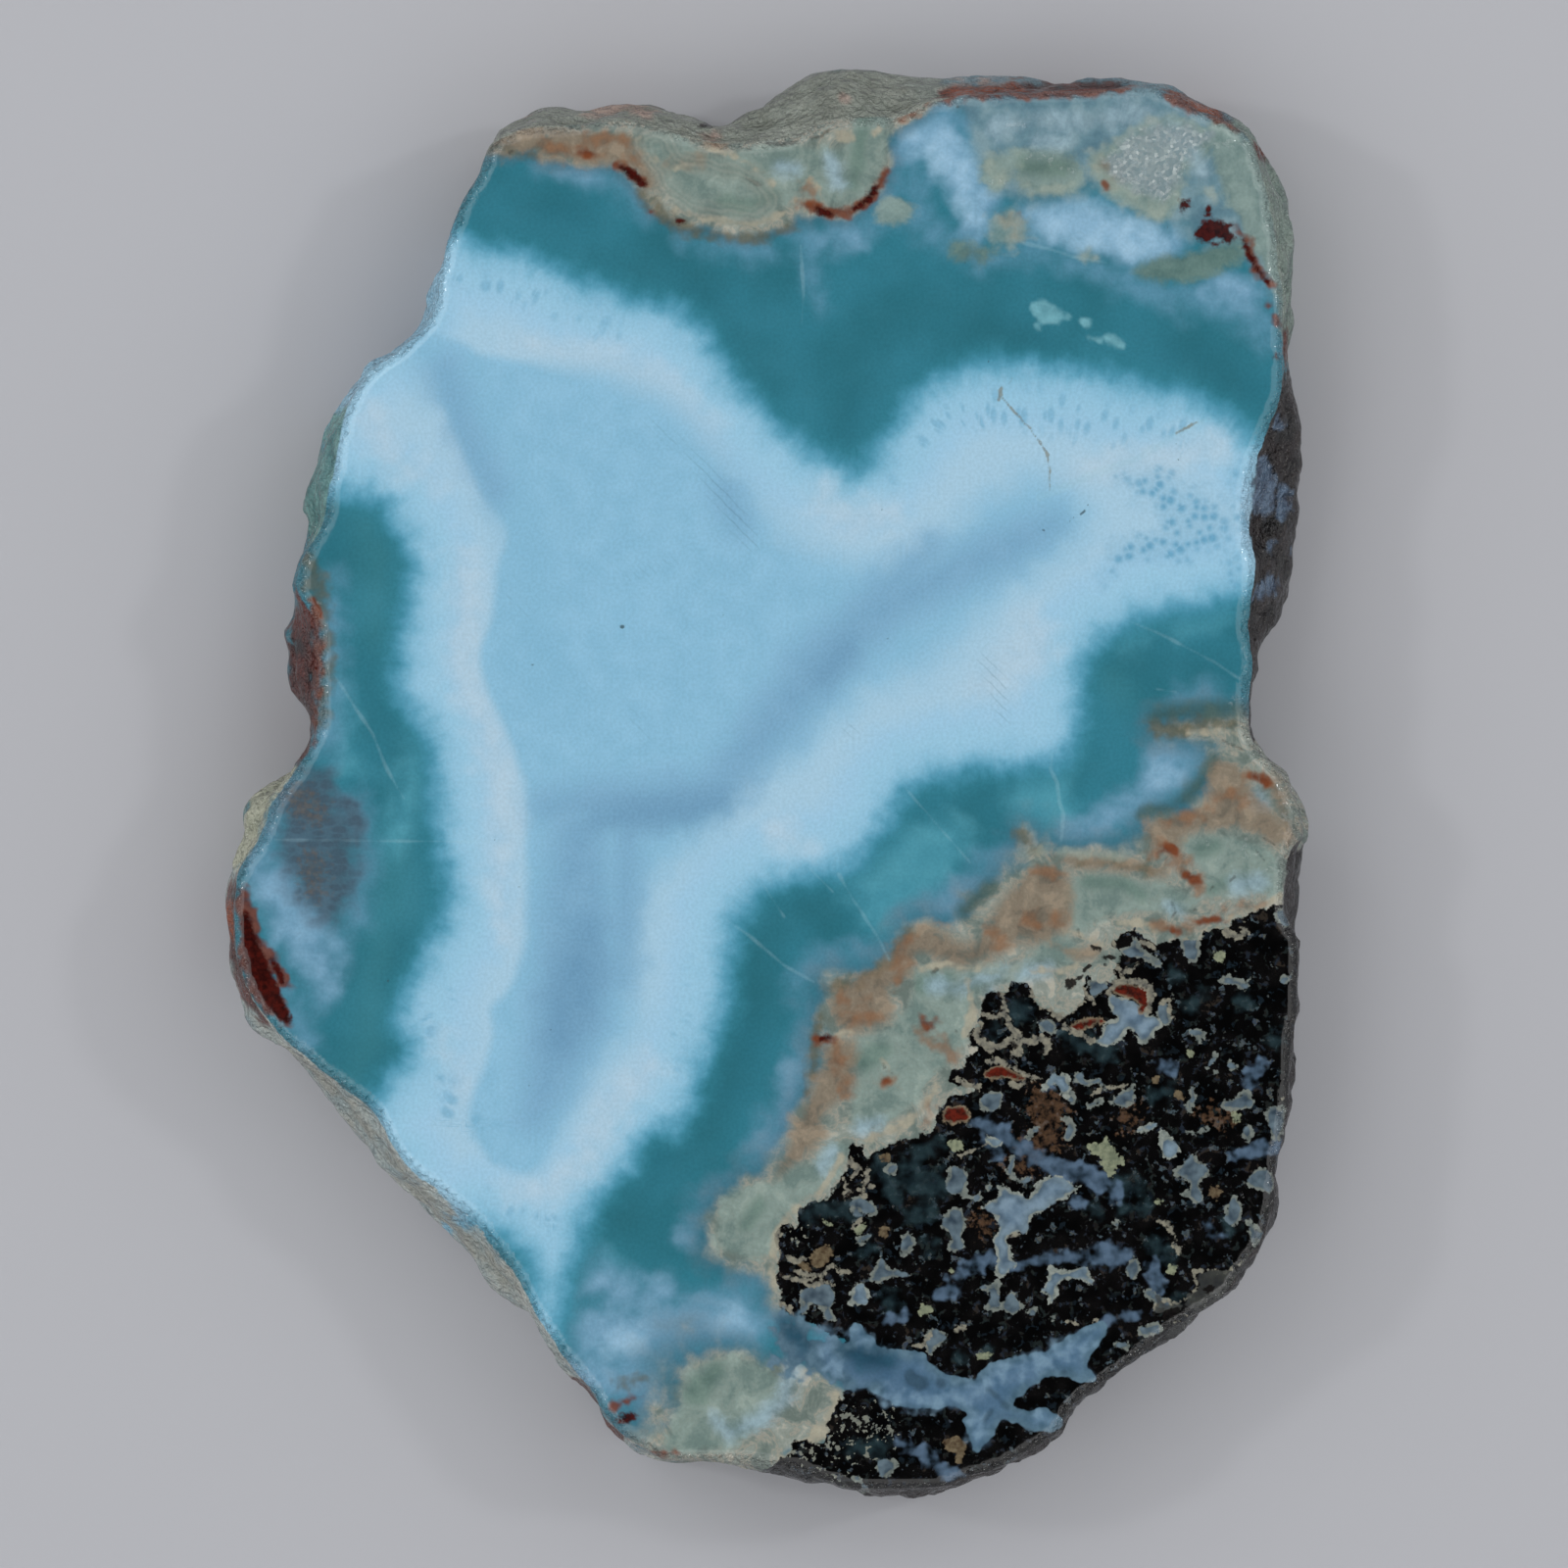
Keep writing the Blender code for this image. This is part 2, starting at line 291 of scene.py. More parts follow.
LAVENDER = """
575 172 4 615 186 6
912 158 10 930 145 18 958 132 20 972 155 20 985 185 20 1005 205 16 992 235 10
955 112 10 985 125 12
1050 222 12 1085 225 22 1120 232 24 1155 246 22 1195 250 16
262 890 12 284 905 22 305 940 26 325 975 18 335 1000 8
1192 782 20 1178 800 16 1212 772 8
1160 818 8 1120 842 8 1095 850 6
592 1350 14 625 1358 18 660 1360 20 705 1350 20 745 1352 16 768 1345 10
600 1405 16 655 1420 12 672 1440 10 640 1395 14
682 1316 9 650 1326 10 615 1308 7 588 1322 7
960 930 8 990 905 6
812 1090 6 805 1130 7 790 1165 7
1240 290 10 1275 300 12
850 238 6 870 245 6
700 1262 6
552 1280 12 556 1320 10
"""
MILK = """
930 145 8 955 135 10 968 160 14 985 195 12 992 220 6
1075 225 14 1110 230 20 1140 240 18 1175 248 14
1188 792 8
650 1366 9 628 1372 7
735 1352 8 755 1346 7
"""
CLOUDLETS = """
o 1053 310 1060 306 1070 308 1078 312 1084 320 1080 330 1070 332 1060 328 1054 320
1106 328 4 1112 332 3
1112 344 3 1122 348 3
1132 344 4 1142 350 5
1090 322 3
1058 332 3
"""
tell("clouds in the teal", TEAL_DEEP, TEAL_BRIGHT, TEAL_GREEN, HAZE, LAVENDER, MILK, CLOUDLETS)

# %% [markdown]
# ## The walls
# Where the vein met hot rock, the basalt weathered to pale clay and chalky green. The clay is stained by
# iron: ochre, rust and deep haematite red. These patches are cut by the same saw, so they are only
# colour. At the top right the wall is half dissolved in the vein, a misty grey-blue with pale clasts in
# it.

# %% Altered rock along the edges
WALL_TOP_LEFT = """
490 90 492 148 510 156 545 158 560 164 580 167 600 168 620 168 632 173 645 183 654 193 662 204 670 215
684 224 700 230 730 236 760 239 785 236 805 228 820 220 845 222 862 221 880 211 893 198 903 180 910 168
908 150 912 138 922 127 940 118 955 103 962 95 962 50 480 50
"""
MISTY_WALL = """
965 97 975 120 990 135 1000 160 1012 190 1035 205 1070 207 1100 200 1120 192 1150 206 1180 222 1205 228
1215 248 1262 250 1275 275 1296 296 1312 320 1320 362 1370 362 1370 50 960 50
"""
WALL_TAN = """
1178 744 1215 752 1240 766 1240 785 1236 803 1218 826 1190 832 1168 846 1164 860 1140 868 1110 868
1080 866 1062 860 1048 848 1042 862 1036 885 1010 905 990 918 985 935 972 945 950 938 928 944 915 962
905 982 880 996 852 998 842 1012 838 1035 834 1060 834 1090 826 1112 812 1132 802 1160 794 1180 780 1195
758 1207 738 1217 726 1237 720 1258 726 1278 748 1290 770 1294 786 1302 794 1328 860 1330 1000 1200
1200 1100 1380 1000 1380 770 1300 742 1268 732 1230 734 1195 738
"""
WALL_FOOT = """
692 1402 702 1386 720 1378 742 1376 765 1384 778 1392 792 1388 812 1396 832 1394 846 1406 856 1418
866 1424 858 1436 850 1452 846 1470 812 1480 800 1490 796 1540 700 1540 672 1510 655 1470 668 1440
686 1420
"""
print("points on the curve of the tan wall:", len(contour(WALL_TAN)))

# %% [markdown]
# The clay isn't one colour. Warm tan lies next to the vein, a cool sage behind it, and cream against the
# basalt. A dark olive shade marks where the vein soaked into it.

# %% Tones of the altered rock
UMBER = """
668 206 5 678 221 7 694 231 6 720 239 5 750 243 4 785 241 4 808 231 3
500 154 2 525 156 2 548 158 2
1178 742 7 1196 744 9 1215 740 7 1240 738 6 1262 738 5
656 196 4 662 210 5
740 170 5 752 176 5 766 183 5 776 189 4
1040 850 6 1050 862 5 1060 868 3
930 945 4 905 985 5 880 1000 5 845 1008 5
838 1040 5 832 1070 4 828 1095 4 820 1115 4
1102 880 2 1130 878 2 1155 884 3 1175 890 3
318 572 7 322 596 11 330 630 9 334 680 7 328 735 6
632 1414 4 655 1406 3
"""
OLIVE_TEAL = """
1178 732 6 1200 727 7 1235 725 7 1268 724 6
1165 830 6 1200 822 5 1230 795 5 1240 775 5
985 930 8 1010 905 8
"""
SAGE = """
o 652 146 664 134 690 134 712 150 735 160 758 152 800 146 850 150 868 138 872 110 905 92 908 150 897 180
 878 203 852 210 832 206 812 202 798 214 770 225 735 223 700 211 684 194 674 172 662 158
o 1000 168 1006 160 1030 160 1034 172 1030 188 1006 188
o 1034 160 1042 152 1090 152 1102 166 1100 186 1088 197 1048 198 1036 186
o 1112 158 1148 148 1164 128 1190 118 1236 136 1238 156 1210 178 1204 202 1186 221 1165 214 1130 190
 1114 172
o 1234 126 1262 130 1286 155 1304 190 1318 250 1322 340 1308 340 1298 294 1282 264 1262 222 1244 192
 1236 160
o 892 222 900 208 918 202 932 208 932 218 920 227 902 230
o 1206 856 1240 851 1270 854 1298 868 1310 888 1308 912 1270 911 1240 914 1230 900 1226 884 1210 870
o 1096 898 1130 891 1170 899 1205 906 1225 922 1200 934 1170 930 1130 936 1100 950 1090 926
o 930 990 950 984 990 986 1040 982 1062 962 1085 952 1100 966 1092 986 1060 986 1040 1000 1010 1008
 990 1030 985 1060 970 1085 950 1100 930 1130 900 1148 870 1150 868 1120 876 1090 870 1070 882 1056
 905 1048 925 1025 932 1005
o 700 1402 740 1384 785 1394 800 1420 780 1450 750 1475 700 1485 676 1478 692 1440
o 742 1216 790 1206 806 1190 830 1184 850 1166 868 1166 855 1198 825 1222 800 1246 786 1280 748 1284
 730 1266 732 1240
"""
MOSS = """
880 100 7 884 118 8 878 142 6 876 165 7 870 188 6
735 206 6 765 209 6 790 200 5
o 1042 165 1060 162 1092 164 1094 174 1070 179 1044 178
1225 866 8 1240 862 6
1110 900 7 1145 902 7 1165 912 5
880 1085 10 900 1070 8
1235 908 4 1250 900 4
1200 925 3
940 1005 8 965 1000 8
760 1250 6 775 1230 5
710 1420 12 730 1400 10
o 1158 279 1180 262 1215 256 1260 248 1268 262 1240 277 1210 286 1180 289
o 970 250 990 248 1012 256 1006 268 980 269
"""
PALE_BLUE = """
955 1005 7 975 1010 5 1000 1000 6 1030 992 5 1055 990 7 1070 985 6
880 1150 7 895 1145 6
1265 902 9 1285 900 8
1285 810 7 1290 820 6
850 1176 6 838 1192 6
805 1402 9 800 1430 8 775 1450 7 745 1462 7 730 1450 5
795 168 7 810 172 6
848 165 8 856 185 7
1195 925 6 1205 930 4
1015 130 8 1052 122 8 1110 125 10 1165 118 9 1150 105 8 1215 150 8 1228 176 8
1060 142 8 1085 148 6
1135 130 6
1010 1010 5
"""
TAN = """
o 500 140 545 134 600 132 640 140 655 160 668 186 660 190 640 168 600 166 560 162 535 158 502 156
682 166 5 700 168 6 716 163 6
722 142 6 738 146 5
o 1238 782 1250 776 1264 782 1275 800 1300 830 1316 850 1302 862 1272 848 1240 846 1208 852 1204 864
 1172 862 1166 850 1192 832 1226 826 1236 805
1075 876 4 1110 880 5 1150 884 5 1185 888 5
o 1035 905 1060 882 1085 890 1094 920 1086 950 1060 963 1030 962 1000 985 970 985 940 976 926 1000
 908 1012 905 1045 870 1052 850 1046 846 1020 862 1002 900 986 920 962 950 946 985 964 1005 945 1020 925
o 842 1068 870 1065 874 1090 868 1115 846 1130 836 1160 816 1185 797 1200 792 1190 809 1165 814 1135
 832 1110 839 1085
1124 166 6 1136 176 5 1148 172 4
1030 226 6 1036 242 7
1300 800 8 1310 830 8 1318 850 8
1075 965 5 1100 975 5 1120 972 4
"""
CREAM = """
674 203 2 690 214 2 720 223 2.5 755 229 2.5 785 225 2.5 804 214 2 812 203 2
650 142 2 652 152 2 662 160 2 674 165 2 690 171 2 705 169 2
690 130 2 710 142 2 725 152 2 745 158 2 762 166 2 778 177 2 790 190 2
818 186 1.5 828 183 1.5 836 192 1.5 840 204 1.5
858 138 7 868 142 5
893 135 3 900 128 3 925 121 3 945 112 2
1215 747 1.5 1240 746 2 1262 748 2
1085 948 2 1110 958 2 1128 964 2
1145 944 3 1165 941 3 1180 952 3
1225 952 2 1248 945 2
1250 938 2 1285 926 2 1308 915 3
1050 990 2 1085 990 3 1100 985 3
988 1000 2 992 1035 4 985 1056 4
955 1110 3 940 1135 4 915 1152 4 888 1162 4
860 1178 3 850 1198 3 835 1218 3
815 1232 3 800 1245 4 792 1262 4 788 1290 4 790 1315 3
850 1056 2 880 1053 2 910 1047 2
940 990 2 965 984 2 1000 990 2
900 1080 2 908 1088 2
852 1424 4 855 1434 6 846 1452 7 830 1470 7 812 1480 5 796 1490 4
"""
PALE_RIM = """
1120 160 8 1140 148 7 1160 132 5 1186 122 4
1118 172 8 1134 190 9 1160 206 9 1184 214 9 1198 200 7 1206 180 5
1036 160 2 1036 186 3 1052 195 4 1085 193 4 1098 180 2
1010 160 6 1020 180 8
o 1008 238 1012 222 1028 215 1048 220 1052 236 1042 250 1026 253 1012 247
o 1098 263 1112 252 1120 265
1225 195 4 1238 198 4
1060 868 2 1100 870 2 1150 873 2
1000 992 4 1040 990 4
"""
tell("tones of the altered rock", UMBER, OLIVE_TEAL, SAGE, MOSS, PALE_BLUE, TAN, CREAM, PALE_RIM)

# %% Iron stains, dark lines and painted edge shade, the clay lens and the druse
OCHRE = """
556 150 5 570 152 6 584 153 4
590 156 4 606 157 4 615 158 3
600 145 5 614 140 5 640 142 4 650 158 4
635 165 3 648 168 3
724 138 4 738 142 5
822 190 4 827 197 3
815 207 3 828 209 4
1190 838 5 1205 833 4 1230 830 4
1180 866 7 1195 872 9 1208 880 7
1212 892 7 1220 900 7 1224 907 4
1178 945 4 1200 949 4 1222 943 4 1240 938 3
1248 929 2 1270 927 2 1290 922 2
1062 890 5 1078 892 5
1050 935 6 1058 942 5
1076 937 5 1085 941 4
1010 944 6 1017 952 5
1012 968 4 1028 966 4
925 962 5 920 985 6 918 1002 4
862 1018 3 868 1030 5 885 1024 4 890 1040 4 868 1042 3
853 1068 5 855 1088 5 862 1105 5 864 1116 3
903 1101 5 911 1105 4
940 1050 4 956 1062 5 965 1072 7 973 1078 5
948 1128 3 944 1143 2
1275 790 5 1288 796 5 1298 800 4
1000 1106 3 1012 1109 4
1250 810 6 1265 815 6
"""
RUST = """
592 155 3 608 157 3
628 168 4 640 172 5 652 184 5 660 190 3
664 216 1.5
818 209 1.5 832 212 4 845 217 5 865 217 5 882 208 5 893 196 4 900 184 4 906 174 3
1187 868 4 1197 866 4
1190 876 3
1212 893 5 1220 898 5
1225 941 3 1242 937 3 1250 942 2
1195 950 2 1205 950 2
940 1042 4 952 1045 5 946 1050 3
836 1060 4 848 1060 4
903 1102 2.5
1280 792 4 1292 797 4
246 908 6 250 925 9 254 945 11 258 970 14 266 1000 15 278 1025 12 292 1040 7
320 612 4 322 650 7 322 700 6 318 740 5 312 766 4
276 972 5 284 990 7 292 1005 6
965 99 4 985 97 5 1010 95 5 1040 95 6 1075 92 7 1110 89 8 1150 88 5
1195 100 5 1222 108 8 1250 120 7 1268 135 4
1262 231 3 1270 243 4 1276 258 4 1282 272 4 1290 284 4 1300 292 3
1294 312 3
1300 322 3 1308 330 4
1306 362 4
905 127 1.5 925 120 2 942 113 2 955 103 1.5 960 97 1.5
968 99 2 980 101 2 995 99 2
626 1435 3 640 1430 3 654 1424 2
668 1484 5 690 1485 4
1126 187 2.5 1129 190 3
278 980 3 288 998 4
"""
HAEMATITE = """
634 171 3 642 176 4.5 652 184 4 657 188 3
834 213 3 840 217 4.5 848 218 3
872 213 2.5 884 205 4 891 196 4 893 191 3
693 227 2.5 697 226 2
845 1059 3 838 1061 2
o 1219 237 1227 227 1240 224 1251 228 1256 236 1260 243 1254 249 1246 245 1240 243 1230 247 1222 243
o 1204 204 1213 204 1212 212 1206 218 1204 211
1229 216 1.5 1234 214 3 1232 220 1.5
1237 248 1.2 1241 249 1.2
1254 230 2.5 1258 229 1.5
1268 245 2 1276 262 2.5 1284 276 2.5 1294 288 2
250 935 5 256 965 9 264 990 11 274 1012 11 284 1030 9 293 1040 5
277 978 2 283 990 3 289 1003 3
630 1449 4 640 1447 6 646 1444 3
1304 364 3
"""
# The first two strokes are painted shade, not marks in the rock: a thin dark line along the cut edge at the
# top left, and the dark line under the lump of rim beside the clay lens. The others are dark marks of the
# stone itself.
DARK_LINES_AND_EDGE_SHADE = """
560 131 1.4 580 131 1.4 598 130 1.2
780 146 2 800 146 3 820 143 2 838 138 2 850 130 1.5
762 182 2 770 186 2.5 776 189 2
520 155 2 523 154 1.5
1246 754 1 1256 760 1.6 1268 765 1.2 1282 763 1
1290 855 1 1300 862 1
1280 865 1 1290 878 1
952 992 2.5 956 989 2
976 1052 1.5
901 1086 2 903 1090 1
977 109 1.5 981 107 1.5
985 146 1
1043 107 1
1118 199 1.2
1100 948 1.5 1102 956 1.2
1235 908 1.5 1238 904 1
1255 900 1 1260 894 1.2
1196 922 2 1200 930 1.5 1196 936 1
1220 928 1.5
1192 232 1
985 268 1
910 1095 1
1144 898 1
"""
LENS = """
690 130 700 150 735 158 770 165 790 185 800 208 790 226 765 233 735 230 700 222 680 210 668 196 660 180
650 165 640 145 655 125
"""
DRUSE = """
1124 164 1142 148 1162 132 1200 126 1236 136 1228 150 1212 165 1203 188 1190 206 1174 202 1152 192
1134 180
"""
GLINTS = """
1284 135 3 1292 155 3 1298 180 4
1301 200 4 1305 240 5 1307 280 5 1309 320 5 1310 360 4 1306 392 4
356 420 4 349 455 4 343 485 4 336 520 4 324 550 4 314 580 4 308 602 4
330 640 3 332 700 2 328 748 2
1310 412 9 1316 450 11 1316 500 10 1312 550 11 1303 600 9 1290 640 7
500 158 4 492 180 4 484 210 3
262 812 3 250 840 3
765 154 4 780 160 3
800 143 3 812 149 2
826 120 4 836 117 3
838 168 3
1030 131 6 1044 128 4
1045 160 3 1070 158 4 1075 170 3 1095 175 3
1003 188 2 1022 184 3 1028 188 2
1150 98 6 1165 90 8
1218 863 4 1232 861 3
1272 855 3 1268 873 3 1284 872 3
1295 886 5 1305 880 4
1256 716 5 1266 714 4
1305 790 5 1312 825 6 1316 845 6 1308 868 6
1240 150 6 1260 145 6
312 615 5 326 618 4
330 660 5 330 678 4
268 804 5 259 815 4 258 826 4 255 845 3
911 1232 2
1268 1219 3
504 146 3
487 180 5
"""
tell("stains, lines and glints", OCHRE, RUST, HAEMATITE, DARK_LINES_AND_EDGE_SHADE, GLINTS)

# %% [markdown]
# ## The basalt corner
# The basalt is nearly black. Its gas holes are filled with pale zeolite, each with a thin cream rim, and
# veins of grey-blue run between them. Along the clay the rock is eaten into a ragged net.

# %% Basalt and the vein through it
BASALT = """
1340 912 1310 922 1298 925 1286 928 1274 933 1262 937 1254 945 1246 947 1236 948 1228 953 1222 960
1205 958 1182 963 1170 958 1160 950 1146 953 1136 960 1134 966 1142 972 1140 984 1134 990 1140 998
1132 1003 1118 1000 1109 997 1106 1010 1104 1022 1092 1034 1076 1033 1062 1026 1053 1012 1045 1003
1034 1004 1025 1012 1010 1013 1001 1028 999 1045 991 1052 989 1065 998 1070 986 1078 985 1085 972 1092
966 1100 976 1108 992 1111 985 1118 970 1118 963 1128 957 1136 955 1147 948 1154 935 1160 918 1165
900 1172 884 1179 879 1169 868 1169 865 1182 866 1192 859 1200 852 1212 838 1226 822 1230 815 1240
811 1252 799 1250 792 1262 796 1276 794 1292 793 1304 797 1318 795 1330 804 1340 818 1348 832 1352
846 1363 860 1368 864 1400 862 1417 858 1428 850 1440 843 1452 845 1464 838 1472 820 1470 806 1472
808 1481 798 1488 788 1500 780 1560 1380 1560 1380 912
"""
BLUE_VEIN = """
806 1342 830 1358 852 1366 864 1366 870 1354 878 1352 886 1361 900 1373 922 1379 936 1377 946 1386
950 1392 962 1400 982 1406 993 1408 1002 1398 1022 1388 1050 1382 1072 1376 1090 1364 1108 1354 1125 1350
1128 1362 1118 1376 1110 1392 1118 1405 1104 1410 1084 1404 1062 1409 1046 1420 1034 1434 1052 1438
1068 1436 1082 1448 1086 1456 1060 1460 1036 1452 1022 1449 1014 1462 1008 1474 994 1482 988 1466 982 1450
986 1442 968 1436 944 1438 925 1438 905 1428 888 1418 866 1418 848 1410 828 1400 800 1396 790 1360
"""
VEIN_EYE = """
862 1378 8 882 1384 14 905 1390 10
805 1356 10 822 1372 8
"""
VEIN_MILK = """
905 1424 6 930 1430 7 955 1428 7 975 1424 6 995 1420 6
1010 1412 6 1030 1400 6 1060 1389 7 1090 1377 6 1112 1366 5
868 1364 4 885 1370 4
998 1450 7 996 1466 6
840 1360 5 850 1400 5
1060 1446 4
"""
VEIN_SHADE = """
930 1406 8 940 1412 8
960 1412 5
1010 1418 2 1020 1428 2 1028 1436 2
1012 1440 2 1006 1450 2
1086 1400 3
"""
DIM_VEIN = """
1000 1146 5 1012 1154 8 1025 1160 9 1040 1170 8 1055 1180 9 1075 1190 9 1095 1197 9 1112 1202 10
 1124 1206 10
985 1297 5 1000 1289 8 1012 1284 6
958 1320 6 972 1314 7 980 1304 5
1035 1292 4 1052 1288 5 1070 1284 5 1088 1282 4 1105 1284 4 1120 1282 8 1134 1281 12 1146 1280 9
1262 1184 4 1275 1176 6 1290 1170 7 1304 1166 5
1176 1290 6 1182 1310 6 1178 1318 5
1134 1222 6 1140 1215 6
940 1480 6 950 1490 7 962 1502 6 978 1506 5
930 1478 5 920 1474 4
1130 1346 4 1148 1342 5 1160 1344 4
1276 1106 5 1280 1094 6 1286 1086 5
1186 1090 6 1196 1090 5
900 1349 4 925 1342 3
1068 1110 5
1100 1226 6
1240 1260 5 1232 1252 5
1020 1178 4 1008 1168 5
"""
DIM_TEAL = """
928 1205 12 955 1208 13
940 1176 8 955 1170 6 925 1190 6
1140 1208 10 1155 1212 10
1180 1270 8 1190 1280 8
945 1235 9 930 1240 7
900 1190 8 905 1205 7 915 1225 6
1165 1232 6 1150 1236 6
1120 1236 6
826 1240 7 840 1236 6 862 1236 7
1040 1032 10
1008 1052 6
1010 1380 3
908 1328 9
1215 1030 5 1224 1016 5
1268 1022 8
1300 1062 6 1306 1056 5
1200 995 5
885 1275 7
950 1270 6
1180 1118 6 1195 1112 5
1130 1075 8 1090 1060 6
1255 1250 6
980 1385 6
870 1480 6 900 1475 6
1200 1325 5
"""
tell("veins in the basalt", VEIN_EYE, VEIN_MILK, VEIN_SHADE, DIM_VEIN, DIM_TEAL)

# %% Filled holes and clasts of the basalt
SLATE = """
o 966 1200 972 1190 984 1192 988 1204 984 1212 990 1222 976 1220 966 1214
o 902 1192 908 1187 916 1190 914 1198 904 1197
o 868 1236 870 1224 880 1222 890 1228 896 1238 888 1240 878 1236 880 1242 870 1240
o 816 1334 818 1318 826 1312 840 1310 850 1314 852 1328 848 1336 852 1346 844 1348 838 1336 828 1330
 820 1342
o 894 1290 900 1284 906 1292 918 1296 930 1301 916 1304 904 1304 896 1308 888 1306
o 920 1262 928 1258 934 1266 930 1276 922 1282 916 1280 920 1272
o 960 1250 966 1238 974 1232 984 1238 984 1252 980 1262 984 1270 976 1278 966 1274 970 1264 966 1256
o 946 1380 944 1368 950 1356 960 1358 968 1362 962 1370 954 1374 952 1382
o 1148 1296 1150 1288 1160 1283 1164 1292 1162 1300 1154 1306
o 1002 1132 1000 1122 1010 1115 1022 1116 1022 1126 1014 1134
o 1198 1196 1206 1188 1212 1184 1216 1178 1222 1184 1232 1192 1236 1198 1226 1202 1224 1212 1228 1220
 1222 1226 1212 1222 1204 1218 1214 1212 1212 1204 1204 1200
o 1258 1220 1264 1226 1266 1244 1258 1250 1250 1244 1252 1232
o 1272 1246 1280 1248 1286 1256 1294 1252 1288 1268 1282 1276 1276 1266
o 1272 1208 1278 1196 1290 1192 1300 1198 1302 1210 1296 1218 1286 1214
o 1266 1156 1272 1150 1280 1154 1276 1166 1270 1164
o 1294 1150 1292 1134 1300 1128 1310 1126 1312 1140 1308 1160 1302 1166
o 1246 1130 1250 1122 1260 1120 1272 1112 1280 1124 1276 1130 1262 1132
o 1243 1002 1252 995 1262 998 1272 1002 1276 996 1272 1010 1260 1006
o 1204 960 1212 956 1222 958 1224 975 1220 982 1212 980 1208 970
o 1142 970 1152 966 1158 958 1166 966 1172 974 1180 976 1186 984 1180 986 1172 982 1165 978 1150 976
o 1300 930 1312 928 1320 938 1318 946 1306 942
o 1215 1052 1228 1050 1230 1056 1222 1064 1218 1058
o 1250 1088 1256 1083 1264 1087 1258 1092
o 1134 1126 1140 1118 1150 1112 1156 1106 1158 1118 1154 1126 1145 1130
o 1000 1314 1010 1310 1020 1308 1020 1320 1022 1328 1032 1320 1038 1328 1046 1334 1040 1338 1032 1342
 1020 1336 1008 1338 1006 1332 1012 1322
o 895 1495 905 1488 916 1492 912 1502 902 1508 896 1502
o 875 1512 868 1508 876 1506 882 1514 892 1522 882 1522
o 1060 1044 1070 1040 1078 1046 1074 1054 1064 1052
o 1184 1024 1192 1022 1192 1030 1196 1042 1188 1046 1180 1038 1182 1030
o 1110 1002 1122 998 1130 1006 1124 1012 1114 1014
878 1266 4 885 1262 4
1208 1156 1 1220 1157 2 1232 1152 3.5
1216 1112 3 1218 1120 3 1212 1132 4
1090 1112 4 1094 1122 4
1100 1098 4 1108 1106 3 1122 1102 2.5 1128 1112 2
1112 1128 3 1122 1124 3
1050 1160 4 1056 1152 3
1088 1140 3 1094 1152 4 1090 1160 4
1034 1180 3 1030 1196 3 1040 1206 2.5 1048 1204 2.5
998 1222 4
1240 1094 3
1186 1160 2
1232 1090 2 1240 1078 3
1075 1344 3
1054 1338 5
1140 1250 4
1010 1212 3
1172 1320 5 1190 1332 5
1166 1358 5 1180 1356 6
1140 1372 3 1152 1374 3
860 1520 4
1310 1000 4 1318 996 3
"""
ZEOLITE = """
o 1002 1232 1014 1224 1018 1216 1014 1208 1024 1210 1036 1216 1048 1222 1054 1216 1060 1206 1072 1200
 1084 1202 1092 1208 1104 1210 1094 1218 1084 1224 1074 1228 1066 1236 1054 1240 1050 1250 1048 1260
 1036 1258 1028 1262 1030 1272 1034 1284 1040 1290 1030 1296 1022 1304 1016 1300 1018 1288 1016 1276
 1014 1264 1020 1256 1016 1244 1010 1238
o 1124 1056 1118 1064 1130 1066 1146 1060 1150 1050 1160 1056 1162 1064 1172 1066 1178 1054 1186 1048
 1180 1036 1172 1036 1172 1030 1150 1020 1134 1014 1130 1020 1134 1032 1140 1040 1128 1044
o 1062 1112 1070 1100 1080 1096 1090 1096 1092 1110 1090 1120 1084 1118 1076 1106 1068 1112
o 868 1318 876 1310 884 1314 886 1330 876 1332 866 1330
o 1068 1312 1070 1294 1076 1292 1084 1296 1096 1294 1108 1292 1114 1304 1116 1312 1106 1306 1094 1306
 1082 1308 1078 1322 1072 1330 1068 1322 1062 1316
o 1182 1162 1186 1152 1190 1154 1196 1162 1204 1172 1200 1180 1190 1182 1184 1174
o 1160 1154 1170 1146 1180 1146 1178 1152 1168 1156
o 1022 1166 1012 1160 1004 1162 1014 1172
"""
YELLOW_CLAST = """
o 1108 1168 1122 1166 1130 1160 1134 1168 1140 1176 1148 1186 1140 1190 1134 1200 1126 1194 1124 1182
 1116 1176
o 938 1336 944 1330 952 1334 948 1340 940 1342
o 1238 975 1244 970 1250 974 1246 981
o 966 1168 972 1163 981 1165 984 1172 976 1174
o 1272 1247 1279 1248 1284 1256 1277 1260
1194 1296 4 1200 1292 3
1000 1384 2.5 1010 1383 3.5
845 1249 3 842 1245 1
876 1256 4 884 1250 2
970 1296 3
1262 1140 5
1215 1075 4
1180 1228 2 1186 1226 2
"""
TAN_CLAST = """
o 898 1180 904 1177 909 1180 906 1187 900 1186
o 826 1290 832 1276 842 1270 850 1276 846 1288 836 1294
o 960 1472 970 1466 984 1468 986 1480 978 1496 974 1484
o 896 1256 902 1250 908 1256 904 1264 898 1262
818 1290 4 826 1296 3
1240 1217 7
1204 1118 5
860 1520 3
1180 1102 4
"""
